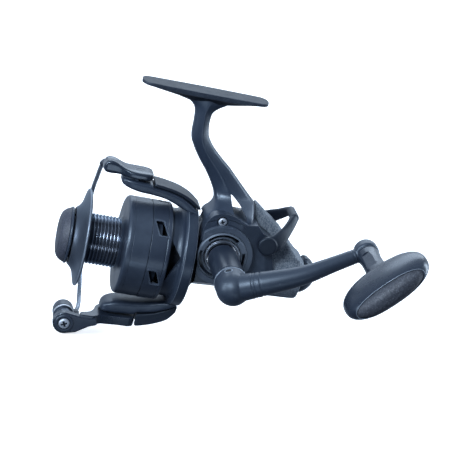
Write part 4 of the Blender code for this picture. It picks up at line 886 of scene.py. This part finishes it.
ring_grooves(arm, ARM_ROWS, [(10.8, 0.3, 0.6), (12.6, 0.3, 0.6), (15.2, 0.3, 0.6), (63.4, 0.24, 0.6), (65.2, 0.24, 0.6)])
dress(arm, "handle", ARMFINISH, ["handle_arm"], crease=70)
pin_dir = Vector((math.cos(math.radians(115)), 0, math.sin(math.radians(115))))
seat = Vector((0, -61.2, 10.5))
for side, label in ((1, "handle_pin_upper"), (-1, "handle_pin_lower")):
    tip = seat + pin_dir * side * 8.72
    # pin heads in near-black: painted shade of the pin holes
    pin = sweep(label, [(*(tip - pin_dir * side * 1.2), 1.5, 1.5), (*(tip - pin_dir * side * 0.1), 1.5, 1.5), (*(tip + pin_dir * side * 0.05), 1.2, 1.2)], (0, 1, 0), 2.0, 28, False)
    dress(pin, "handle", DARK, ["handle_pin"] if side > 0 else ())
    lip_rows = []
    across = pin_dir.cross(Vector((0, 1, 0)))
    for k in range(33):
        t = 2 * math.pi * k / 32
        spot = tip + Vector((0, 1, 0)) * 1.95 * math.cos(t) + across * 1.95 * math.sin(t)
        spot -= pin_dir * side * (0.12 + 0.22 * math.sin(t) ** 2)
        lip_rows.append((*spot, 0.26, 0.26))
    # bright ring round each pin hole: painted highlight on its edge
    lip_ring = sweep(label + "_lip", lip_rows, tuple(pin_dir), 2.0, 12, False)
    dress(lip_ring, "handle", HIGHLIGHT_EDGE)
# bright ring on the knuckle's rim: painted highlight
knuckle_lip = lathe(
    "knuckle_lip", fillet([(7.9, -57.1), (8.5, -57.1), (8.85, -57.5), (8.85, -58.0), (8.5, -58.4), (7.9, -58.4)], 0.2, 3), "Y", (0, 0, 10.5), 96,
)
dress(knuckle_lip, "handle", HIGHLIGHT_EDGE)
cuff = lathe(
    "eye_cuff", fillet([(2.4, -71.0), (5.3, -71.0), (5.3, -70.55), (4.9, -70.4), (5.3, -70.25), (5.3, -69.7), (2.4, -69.7)], 0.12, 2),
    "Y", (62.3, 0, 42.2), 56,
)
dress(cuff, "handle", SATIN)

# ---- handle knob -----------------------------------------------------------------------
KNOB = Vector((62.3, -108.4, 42.2))
TILT = math.radians(47.5)
LONG = Vector((math.cos(TILT), 0, math.sin(TILT)))
CROSS = Vector((-math.sin(TILT), 0, math.cos(TILT)))
FACE = -0.68


def paddle_ring(share, inset=0.0, lift=0.0, count=88):
    """Ring of the paddle at a share of its depth: share -1 at the face, 1 at the stem side."""
    grow = max(0.0, 1 - abs(share) ** 2.5) ** (1 / 2.5)
    spot = KNOB + Vector((0, share * 14.9 + lift, 0))
    return [tuple(spot + LONG * u + CROSS * v) for u, v in squircle(max(0.4, 23.3 * grow - inset), max(0.25, 7.6 * grow - inset), 2.3, count)]


low, high = math.degrees(math.acos(-FACE)), 177.0
shares = [-math.cos(math.radians(low + (high - low) * k / 30)) for k in range(31)]
rings = [paddle_ring(FACE, 1.3, 0.5), paddle_ring(FACE, 0.75, 0.45), paddle_ring(FACE, 0.6, 0.0), paddle_ring(FACE, 0.38, -0.12), paddle_ring(FACE, 0.15, -0.05)]
paddle = loft("knob_paddle", rings + [paddle_ring(share) for share in shares])
neck = lathe(
    "knob_neck", fillet([(0, -107.0), (6.9, -107.0), (6.3, -98.0), (5.4, -89.0), (5.2, -78.0), (5.7, -72.6), (5.3, -71.3), (0, -71.3)], 1.0, 4, False),
    "Y", (62.3, 0, 42.2), 72,
)
add(paddle, neck)
# shallow D-shaped thumb recess on the neck
OUTWARD = Vector((-0.8, 0, 0.6))
ASIDE = Vector((0.6, 0, 0.8))
d_outline = [(-2.6, -77.0), (2.2, -77.0)] + [(2.2 + 1.2 * math.sin(math.radians(t)), -85.5 + 8.5 * math.cos(math.radians(t))) for t in range(15, 180, 15)] + [(2.2, -94.0), (-2.6, -94.0)]
d_outline = fillet(d_outline, 1.6, 4)


def d_rings(grow, low_out, high_out):
    rings = []
    for out in (low_out, high_out):
        rings.append([tuple(Vector((62.3, 0, 42.2)) + OUTWARD * out + ASIDE * u * grow + Vector((0, -85.5 + (y + 85.5) * grow, 0))) for u, y in d_outline])
    return rings


cut(paddle, loft("d_recess", d_rings(1.0, 4.8, 9.0)))
clean(paddle, 0.1)
dress(paddle, "handle_knob", KNOBLOOK, ["knob_body"], crease=40)
pad = loft("knob_thumb_pad", d_rings(0.86, 4.3, 4.98))
soften(pad, 0.16, 3, 40)
dress(pad, "handle_knob", KNOBLOOK)
# bright line round the paddle's face: painted highlight on its rim
rim_line = sweep("knob_rim_line", [(*q, 0.2, 0.2) for q in (lambda ring: ring + ring[:1])(paddle_ring(FACE, 0.3, -0.1))], (0, 1, 0), 2.0, 10, False)
dress(rim_line, "handle_knob", HIGHLIGHT_EDGE)
shares = [FACE - (1 + FACE) * math.sin(math.radians(90 * k / 16)) for k in range(1, 17)]
rings = [paddle_ring(FACE, 1.4, 0.35), paddle_ring(FACE, 0.95, 0.3), paddle_ring(FACE, 0.88, 0.0), paddle_ring(FACE - 0.012, 0.95)]
insert = loft("knob_soft_insert", rings + [paddle_ring(max(share, -0.996), 0.95 * (1 - (share - FACE) / (-1 - FACE))) for share in shares[1:]])
dress(insert, "handle_knob", RUBBER, ["knob_insert"], crease=50)

# ---- spool -----------------------------------------------------------------------------
arbor = [(10.7, -69.4), (13.4, -69.4)]
for k in range(8):
    x = -69.0 + 1.9 * k
    arbor += [(12.95, x), (13.35, x + 0.22), (13.65, x + 0.5), (13.78, x + 0.9), (13.65, x + 1.3), (13.35, x + 1.58), (12.95, x + 1.8)]
arbor += [(13.4, -53.4), (10.7, -53.4)]
lip = lathe(
    "spool_lip",
    [(2.9, -65.4), (12.2, -65.4), (12.2, -77.9), (12.6, -78.3), (14.6, -78.5), (15.5, -78.2), (16.1, -77.5), (16.9, -76.6), (18.0, -75.7), (19.5, -74.9), (21.4, -74.25), (23.4, -73.75), (24.8, -73.4),
     (25.5, -73.15), (26.1, -72.95), (26.5, -72.6), (26.55, -72.2), (26.2, -71.8), (25.4, -71.5), (22.0, -71.3), (17.0, -71.0), (15.2, -70.6), (14.2, -70.0), (13.5, -69.3), (10.6, -69.3), (10.6, -62.4), (2.9, -62.4)],
    "X", steps=176,
)
dress(lip, "spool", LIP, ["spool"], crease=30)
ribs = lathe("spool_arbor", arbor, "X", steps=144)
dress(ribs, "spool", ARBOR, crease=60)
# bright ring on the spool lip's rim: painted highlight
rim_edge = lathe("lip_edge", [(26.0, -73.0), (26.3, -72.95), (26.55, -72.7), (26.62, -72.4), (26.5, -72.1), (26.2, -71.95), (26.0, -72.0)], "X", steps=176)
dress(rim_edge, "spool", HIGHLIGHT_EDGE)
spool = lathe(
    "spool_skirt",
    [(10.7, -53.5), (13.5, -53.5), (14.2, -53.0), (14.8, -52.5), (16.2, -52.15), (20.0, -52.0), (24.6, -51.95), (25.6, -51.8), (26.25, -51.4), (26.65, -50.8), (26.8, -50.0), (26.8, -48.6),
     (26.7, -48.5), (26.7, -48.3), (26.8, -48.2), (26.8, -39.5), (26.65, -39.2), (26.0, -39.2), (26.0, -37.9), (25.2, -37.9), (25.2, -49.4), (10.7, -49.4)],
    "X", steps=176,
)
dress(spool, "spool", SKIRTFINISH, crease=30)
skirt = lathe(
    "skirt_ring_body",
    fillet([(26.3, -38.9), (26.8, -38.9), (26.8, -30.6), (26.6, -30.4), (26.6, -30.1), (26.8, -29.9), (26.8, -28.7), (26.4, -28.1), (25.2, -28.1), (25.2, -37.6), (26.3, -37.6)], 0.2, 3),
    "X", steps=160,
)


def window_block(middle, half_x, half_t, low, high, skew=1.6, round_off=0.9):
    """Skewed window through the skirt at an angle round the axis, from radius low to high."""
    t = math.radians(middle)
    out = Vector((0, math.cos(t), math.sin(t)))
    round_way = Vector((0, -math.sin(t), math.cos(t)))
    corners = fillet([(-half_x, -half_t), (half_x, -half_t), (half_x, half_t), (-half_x, half_t)], round_off, 4)
    rings = []
    for radius in (low, high):
        rings.append([
            tuple(Vector((-34.0 + u + v / half_t * skew, 0, 0)) + out * radius + round_way * v) for u, v in corners
        ])
    return loft("window", rings)


for index in range(6):
    cut(skirt, window_block(134 + 60 * index, 2.3, 4.3, 20, 30))
    # sunk step round each window
    cut(skirt, window_block(134 + 60 * index, 2.95, 4.95, 26.15, 30))
soften(clean(skirt, 0.1), 0.16, 2, 40)
dress(skirt, "spool", SKIRTFINISH, ["skirt_ring"], crease=34)
# a frame in each window's sunk step, in a lighter grey that is a painted highlight of the window edges
for index in range(6):
    trim = window_block(134 + 60 * index, 2.9, 4.9, 25.4, 26.62)
    trim.name = "window_trim_%d" % index
    cut(trim, window_block(134 + 60 * index, 2.15, 4.1, 24, 30))
    soften(clean(trim, 0.1), 0.12, 2, 40)
    dress(trim, "spool", SHEEN_GREY, crease=34)

# ---- front drag knob -------------------------------------------------------------------
drag = lathe(
    "drag_knob_body",
    fillet([(0, -84.5), (8.2, -84.3), (11.0, -83.6), (12.5, -82.3), (13.3, -80.8), (14.8, -80.75), (15.4, -80.2), (15.5, -79.6), (15.0, -79.2), (10.7, -79.1), (10.7, -74.2), (7.0, -74.2), (7.0, -80.3), (2.75, -80.3), (2.75, -82.9), (0, -82.9)], 0.2, 3, False),
    "X", steps=144,
)
for index in range(36):
    t = math.radians(10 * index)
    cut(drag, lathe("knurl", [(0, -81.2), (0.42, -81.2), (0.42, -78.6), (0, -78.6)], "X", (0, 15.7 * math.cos(t), 15.7 * math.sin(t)), 10))
dress(drag, "drag_adjuster", SKIRTFINISH, ["drag_knob"], crease=34)
grip = lathe(
    "drag_grip_cap",
    [(0, -86.0), (3.0, -85.98), (6.0, -85.92), (8.2, -85.82), (9.6, -85.62), (10.6, -85.35), (10.75, -85.1), (10.95, -85.2), (11.6, -84.98), (12.5, -84.4), (13.3, -83.6), (13.9, -82.8), (14.3, -82.1),
     (14.6, -81.4), (14.7, -80.95), (13.65, -80.95), (12.85, -82.4), (11.2, -83.95), (8.3, -84.65), (0, -84.85)],
    "X", steps=144,
)
dress(grip, "drag_adjuster", CAPGRIP, ["drag_knob_grip"], crease=40)

# ---- rotor -----------------------------------------------------------------------------
rotor_profile = fillet(
    [(4.35, -36.9), (21.0, -36.9), (22.2, -36.2), (22.6, -35.2), (22.6, -29.6), (24.2, -28.4), (24.2, -24.4), (24.6, -22.8), (25.6, -21.8), (27.6, -21.2), (28.5, -20.4), (28.5, -15.2), (27.9, -14.5), (26.6, -14.5), (26.2, -15.1),
     (26.2, -17.8), (25.2, -18.6), (22.0, -18.9), (21.5, -22.2), (21.0, -33.9), (4.35, -33.9)], 0.45, 3)
rotor = lathe("rotor_drum", rotor_profile, "X", steps=160)
for side in (-1, 1):
    v_cut = prism("v_cut", fillet([(-21.3, 5.8), (-33.0, 20.9), (-33.0, -20.5)], 0.8, 4), "XZ", min(9 * side, 34 * side), max(9 * side, 34 * side))
    cut(rotor, v_cut)


def limb(name, pairs, flip):
    rings = []
    for (ox, oz), (ix, iz), half in smooth_pairs(pairs):
        centre = Vector(((ox + ix) / 2, 0, (oz + iz) / 2))
        up = Vector((ox - ix, 0, oz - iz)) / 2
        ring = []
        for u, v in squircle(half, 1.0, 4.2, 48):
            p = centre + up * v
            ring.append((p.x, u, p.z * flip))
        rings.append(ring)
    return loft(name, rings)


def smooth_pairs(pairs):
    rows = smooth([(*a, *b, h) for a, b, h in pairs], 5)
    return [((r[0], r[1]), (r[2], r[3]), r[4]) for r in rows]


UPPER = [
    ((-14.9, 27.6), (-15.6, 26.7), 9.6), ((-15.8, 28.6), (-17.0, 26.6), 9.4), ((-19.5, 31.4), (-21.2, 26.6), 8.8), ((-25.7, 34.4), (-25.0, 27.8), 8.0), ((-31.5, 35.9), (-29.4, 29.6), 7.6), ((-35.4, 36.5), (-34.3, 31.2), 7.6),
    ((-41.0, 37.1), (-39.6, 31.9), 7.6), ((-42.2, 38.2), (-42.8, 32.1), 7.6), ((-47.0, 38.6), (-48.0, 32.4), 7.6), ((-52.0, 38.75), (-52.4, 33.2), 7.3), ((-55.6, 38.85), (-55.8, 34.2), 6.2), ((-57.8, 38.5), (-57.6, 35.1), 4.6), ((-58.6, 37.5), (-58.5, 36.3), 2.6),
]
LOWER = [
    ((-14.9, 27.6), (-15.6, 26.7), 9.6), ((-15.8, 28.6), (-17.0, 26.6), 9.4), ((-19.5, 31.4), (-21.2, 26.6), 8.8), ((-25.7, 34.4), (-24.9, 27.6), 8.0), ((-31.5, 35.9), (-29.6, 29.0), 7.6), ((-35.4, 36.5), (-34.2, 30.0), 7.6),
    ((-37.0, 37.9), (-38.8, 30.5), 7.6), ((-41.6, 38.3), (-43.2, 30.8), 7.6), ((-47.0, 38.6), (-48.2, 31.4), 7.6), ((-51.0, 38.7), (-51.4, 32.4), 7.2), ((-53.6, 38.75), (-53.6, 33.6), 6.2), ((-55.0, 38.3), (-54.9, 34.8), 4.6), ((-55.6, 37.6), (-55.4, 36.4), 2.8),
]
upper, lower = limb("limb_upper", UPPER, 1), limb("limb_lower", LOWER, -1)
add(rotor, upper, lower)
clean(rotor, 0.1)
dress(rotor, "rotor", GRAPHITE, ["rotor"], crease=34)
# two bright rings on the rotor band's edges: painted highlights
for label, radius, x in (("band_line_front", 28.52, -20.0), ("band_line_rear", 28.3, -15.0)):
    line = lathe(label, fillet([(radius - 0.5, x - 0.2), (radius, x - 0.2), (radius, x + 0.2), (radius - 0.5, x + 0.2)], 0.1, 2), "X", steps=160)
    dress(line, "rotor", HIGHLIGHT_EDGE)

SEAT = [(-31.5, 36.25), (-25.7, 34.75), (-19.5, 31.75), (-15.6, 28.9)]
COVERS = {
    "arm_cover_upper": ([(-13.8, 28.9), (-14.1, 29.7), (-19.4, 33.6), (-25.7, 36.4), (-31.5, 37.8), (-36.5, 38.6), (-40.2, 38.95), (-40.8, 38.5), (-40.8, 37.5), (-35.5, 36.85)], 1),
    "arm_cover_lower": ([(-13.9, 28.9), (-14.4, 32.4), (-18.4, 37.6), (-25.5, 41.2), (-30.5, 42.9), (-33.6, 43.7), (-35.1, 43.9), (-35.3, 43.2), (-35.3, 36.85)], -1),
}
for label, (outside, flip) in COVERS.items():
    tail = 3
    edge = outside[:2] + smooth(outside[1:-tail], 4)[1:] + outside[-tail:]
    panel = prism(label + "_panel", [(x, z * flip) for x, z in edge + SEAT], "XZ", -7.2, 7.2)
    if flip < 0:
        cut(panel, lathe("heel_room", [(0, -48.0), (15.5, -48.0), (15.5, -30.0), (0, -30.0)], "Z", (-50.0, 0, 0), 96))
    soften(clean(panel, 0.1), 1.2 if flip > 0 else 0.7, 6, 34)
    dress(panel, "rotor", LEVERLOOK, [label], crease=36)

# ---- bail ------------------------------------------------------------------------------
def lever_station(x, half, low, high, dish, shift=0.0):
    """Section of the bail lever at x: dish hollows its top."""
    ring = []
    for u, v in squircle(half, 1.0, 4.4, 64):
        z = (low + high) / 2 + (high - low) / 2 * v
        if v > 0:
            z -= dish * math.exp(-(u / (half * 0.55)) ** 2) * min(1.0, v * 1.4)
        ring.append((x, u + shift, z))
    return ring


LEVER_ROWS = [
    (-42.1, 2.4, 40.2, 42.2, 0.0, 0.0), (-42.4, 4.4, 39.7, 42.9, 0.0, 0.0), (-43.4, 6.2, 39.5, 43.4, 0.0, 0.0), (-45.6, 7.4, 39.4, 43.6, 0.0, 0.0), (-50.0, 8.0, 39.4, 43.6, 0.0, 0.0),
    (-54.0, 7.5, 39.4, 43.7, 0.0, 0.1), (-57.6, 6.4, 39.6, 44.3, 0.3, 0.2), (-60.6, 5.7, 39.8, 45.5, 0.6, 0.4), (-63.2, 5.4, 39.5, 46.6, 0.8, 0.6), (-66.0, 5.2, 39.3, 46.9, 0.7, 0.7), (-67.8, 4.9, 39.7, 46.1, 0.5, 0.7),
    (-68.7, 4.2, 40.5, 44.5, 0.2, 0.7), (-69.2, 2.8, 41.1, 43.4, 0.0, 0.7),
]
paddle = loft("bail_lever_body", [lever_station(*row) for row in smooth(LEVER_ROWS, 5)])
dress(paddle, "bail", GLOSS, ["bail_lever"], crease=44)
step_pad = prism("bail_lever_step", fillet(arc((-50.0, 0.0), 6.6, 90, 270, 24) + [(-58.5, -4.6), (-58.5, 4.6)], 0.6, 3), "XY", 38.95, 39.6)
soften(step_pad, 0.15, 2, 40)
dress(step_pad, "bail", SATIN)


def pivot_screw(label, z, way, nodes):
    made = lathe(
        label, fillet([(0, z - 1.6 * way), (3.2, z - 1.6 * way), (3.2, z - 0.25 * way), (2.7, z), (0, z)], 0.2, 3, False), "Z", (-50.0, 0, 0), 48,
    )
    bar = prism("slot", [(-53.0, -0.4), (-47.0, -0.4), (-47.0, 0.4), (-53.0, 0.4)], "XY", min(z - 0.5 * way, z + way), max(z - 0.5 * way, z + way))
    cut(made, bar)
    soften(clean(made, 0.2), 0.08, 2, 45)
    return dress(made, "bail", SATIN, nodes)


pivot_screw("pivot_head_upper", 43.68, 1, ["bail_pivot_screw_upper"])
pivot_screw("pivot_head_lower", -44.88, -1, ["bail_pivot_screw_lower"])

plan = [(-44.0, -7.6), (-39.0, -7.5), (-37.5, -6.8)] + arc((-50.0, 0.0), 14.95, -24, 24, 16) + [(-37.5, 6.8), (-39.0, 7.5), (-44.0, 7.6)] + smooth([(-54.6, 6.4), (-57.0, 3.0), (-58.6, -2.6), (-61.4, -6.6), (-66.0, -8.9)], 5) + [(-66.0, -13.2), (-59.0, -12.9), (-54.0, -9.2)]
plate = prism("roller_arm_body", plan, "XY", -44.8, -39.4)
soften(clean(plate, 0.1), 0.8, 4, 34)
web = prism(
    "roller_web",
    [(-57.0, -40.2), (-62.0, -41.2), (-67.0, -40.6)] + arc((-73.9, -45.8), 6.2, 75, 285, 40) + [(-67.0, -50.4), (-60.4, -45.9), (-56.0, -44.2)],
    "XZ", -13.5, -8.8,
)
soften(clean(web, 0.1), 0.8, 4, 34)
add(plate, web)
clean(plate, 0.1)
dress(plate, "bail", GLOSS, ["roller_arm"], crease=36)
ring = lathe("roller_seat_ring", fillet([(3.5, -14.1), (4.7, -14.1), (5.1, -13.7), (5.1, -13.2), (3.5, -13.2)], 0.15, 2), "Y", (-73.9, 0, -45.8), 64)
dress(ring, "bail", SATIN)
cross_screw("roller_screw", -73.9, -45.8, -13.95, 2.95, "bail", 0.95, ["roller_screw"])
roller = lathe(
    "line_roller_body",
    fillet([(3.2, -8.4), (5.6, -8.4), (5.5, -7.8), (5.2, -7.0), (4.7, -6.2), (4.5, -5.3), (4.6, -4.6), (4.8, -3.8), (5.2, -3.0), (5.5, -2.5), (3.2, -2.5)], 0.15, 2),
    "Y", (-73.9, 0, -45.8), 80,
)
dress(roller, "line_roller", ANODISED, ["line_roller"])
washer = lathe("roller_washer_ring", fillet([(2.0, -2.4), (5.85, -2.4), (5.85, -1.25), (2.0, -1.25)], 0.2, 3), "Y", (-73.9, 0, -45.8), 72)
dress(washer, "bail", ALLOY, ["roller_washer"])
cup = lathe(
    "wire_cup_body", fillet([(0, -1.1), (5.4, -1.1), (5.75, -0.4), (5.9, 3.6), (5.6, 6.4), (4.6, 7.8), (2.6, 8.6), (0, 8.8)], 0.5, 4, False),
    "Y", (-73.9, 0, -45.8), 72,
)
socket = sweep("wire_socket", smooth([(-66.5, 8.4, -47.6, 1.9, 1.9), (-66.7, 6.4, -47.6, 2.1, 2.1), (-69.4, 3.9, -47.0, 2.5, 2.5), (-71.0, 3.0, -46.8, 2.6, 2.6)], 6), (0, 0, 1), 2.0, 32)
add(cup, socket)
remesh(cup, 0.26, 4, 0.5)
dress(cup, "bail", SATIN, ["wire_cup"], crease=60)

WIRE_PATH = [
    (-67.6, 7.2, 42.2), (-68.6, 13.0, 37.6), (-68.0, 27.0, 26.0), (-67.2, 41.6, 13.0), (-66.8, 47.86, -5.0), (-65.6, 47.2, -22.0),
    (-64.7, 41.5, -34.0), (-64.2, 29.5, -43.4), (-64.6, 17.0, -47.2), (-66.5, 8.8, -47.6),
]
wire = sweep("bail_wire_body", [(*p, 1.2, 1.2) for p in smooth(WIRE_PATH, 12)], (1, 0, 0), 2.0, 24)
dress(wire, "bail", WIRE, ["bail_wire"], crease=60)
sleeve = sweep("wire_sleeve", [(*p, 1.75, 1.75) for p in smooth([(-67.4, 6.0, 42.3), (-67.9, 8.6, 41.4), (-68.5, 11.4, 39.2)], 6)], (1, 0, 0), 2.0, 28)
dress(sleeve, "bail", SATIN)

# ---- frame nodes that stay: each gets its finish ---------------------------------------
slots = {
    "guide_rod": "steel", "drive_bearing_near": "steel", "drive_bearing_far": "steel", "pinion_bearing": "steel", "clutch_housing": "alloy",
    "tension_plate": "steel", "tension_felt": "drag_felt", "knob_spindle": "steel", "drive_gear": "alloy", "rotor_nut": "brass",
    "clutch_sleeve": "steel", "bail_spring": "steel", "pinion_gear": "brass", "roller_bush": "brass", "oscillation_gear": "brass",
    "crosshead": "brass", "main_shaft": "steel", "shaft_clip": "steel", "spool_seat": "satin_black", "drag_felt_inner": "drag_felt",
    "drag_disc_inner": "steel", "drag_felt_outer": "drag_felt", "drag_disc_outer": "steel", "drag_clip": "steel", "drag_nut": "brass",
    "drag_spring": "steel", "lever_shaft": "steel",
}
for label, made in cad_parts.items():
    if made.hide_render:
        continue
    look = LOOK[slots[label]]
    made.data.materials.clear()
    made.data.materials.append(look)
    for face in made.data.polygons:
        face.material_index = 0

# ---- stage, light, camera --------------------------------------------------------------
scene = bpy.context.scene
floor_mesh = bpy.data.meshes.new("floor")
low = CAD_BOX[0][2] - 0.0006
side = 9.0
floor_mesh.from_pydata([(-side, -side, low), (side, -side, low), (side, side, low), (-side, side, low)], [], [(0, 1, 2, 3)])
floor = bpy.data.objects.new("floor", floor_mesh)
COL.objects.link(floor)
pale, tree, shader = new_material("pale_floor")
shader.inputs["Base Color"].default_value = (0.86, 0.87, 0.88, 1)
shader.inputs["Roughness"].default_value = 0.9
shader.inputs["Specular IOR Level"].default_value = 0.0
shader.inputs["Emission Color"].default_value = (1.0, 1.0, 1.0, 1)
shader.inputs["Emission Strength"].default_value = 0.62
floor_mesh.materials.append(pale)
floor.visible_glossy = False
floor.visible_diffuse = False

world = bpy.data.worlds.new("studio")
scene.world = world
world.use_nodes = True
sky = world.node_tree
base = sky.nodes["Background"]
where = sky.nodes.new("ShaderNodeTexCoord")
# pale sweep behind and above the reel, dark room on the viewer's side
spread = sky.nodes.new("ShaderNodeVectorMath")
spread.operation = "DOT_PRODUCT"
spread.inputs[1].default_value = (0.25, 0.80, 0.55)
sky.links.new(where.outputs["Generated"], spread.inputs[0])
shade = sky.nodes.new("ShaderNodeMapRange")
shade.inputs["From Min"].default_value = -1.0
shade.inputs["From Max"].default_value = 1.0
sky.links.new(spread.outputs["Value"], shade.inputs["Value"])
tone = sky.nodes.new("ShaderNodeValToRGB")
tone.color_ramp.elements[0].position = 0.15
tone.color_ramp.elements[0].color = (0.075, 0.102, 0.155, 1)
tone.color_ramp.elements[1].position = 0.85
tone.color_ramp.elements[1].color = (0.72, 0.86, 1.05, 1)
middle = tone.color_ramp.elements.new(0.52)
middle.color = (0.20, 0.255, 0.35, 1)
sky.links.new(shade.outputs["Result"], tone.inputs["Fac"])
sky.links.new(tone.outputs["Color"], base.inputs["Color"])
base.inputs["Strength"].default_value = 1.0

CENTRE = W(-8, -25, 18)


def softbox(label, place, size, power, colour=(0.74, 0.86, 1.0), aim=None):
    lamp = bpy.data.lights.new(label, "AREA")
    lamp.shape = "RECTANGLE"
    lamp.size, lamp.size_y = size
    lamp.energy = power
    lamp.color = colour
    made = bpy.data.objects.new(label, lamp)
    COL.objects.link(made)
    made.location = place
    made.rotation_mode = "QUATERNION"
    made.rotation_quaternion = ((aim or CENTRE) - Vector(place)).to_track_quat("-Z", "Y")
    return made


softbox("key", (-0.60, -0.80, 0.60), (0.42, 0.34), 17.0)
softbox("side", (0.80, 0.10, 0.25), (0.25, 0.9), 8.0)
softbox("back", (0.1, 0.85, 0.50), (1.0, 0.4), 4.0)
softbox("left", (-0.90, -0.30, 0.12), (0.18, 0.6), 8.0)
softbox("low", (0.05, -0.90, -0.35), (0.9, 0.22), 2.4)

a, e, r = math.radians(-12.46), math.radians(19.0), math.radians(13.848)
BACK = Vector((math.sin(a) * math.cos(e), -math.cos(a) * math.cos(e), math.sin(e)))
flat = Vector((math.cos(a), math.sin(a), 0.0))
top = BACK.cross(flat)
RIGHT = flat * math.cos(r) + top * math.sin(r)
UP = top * math.cos(r) - flat * math.sin(r)
DISTANCE, SCALE, TX, TY = 802.47, 1.823, 212.147, 258.533
spot = BACK * DISTANCE - RIGHT * ((TX - 225.0) / SCALE) + UP * ((TY - 225.0) / SCALE)
camera = bpy.data.cameras.new("camera")
camera.sensor_width = 36.0
camera.lens = 36.0 * SCALE * DISTANCE / 450.0
camera.clip_start, camera.clip_end = 0.01, 50.0
viewer = bpy.data.objects.new("camera", camera)
COL.objects.link(viewer)
turn = Matrix((RIGHT, UP, BACK)).transposed().to_4x4()
viewer.matrix_world = Matrix.Translation(W(*spot)) @ turn
scene.camera = viewer
scene.view_settings.view_transform = "Standard"
scene.view_settings.look = "None"
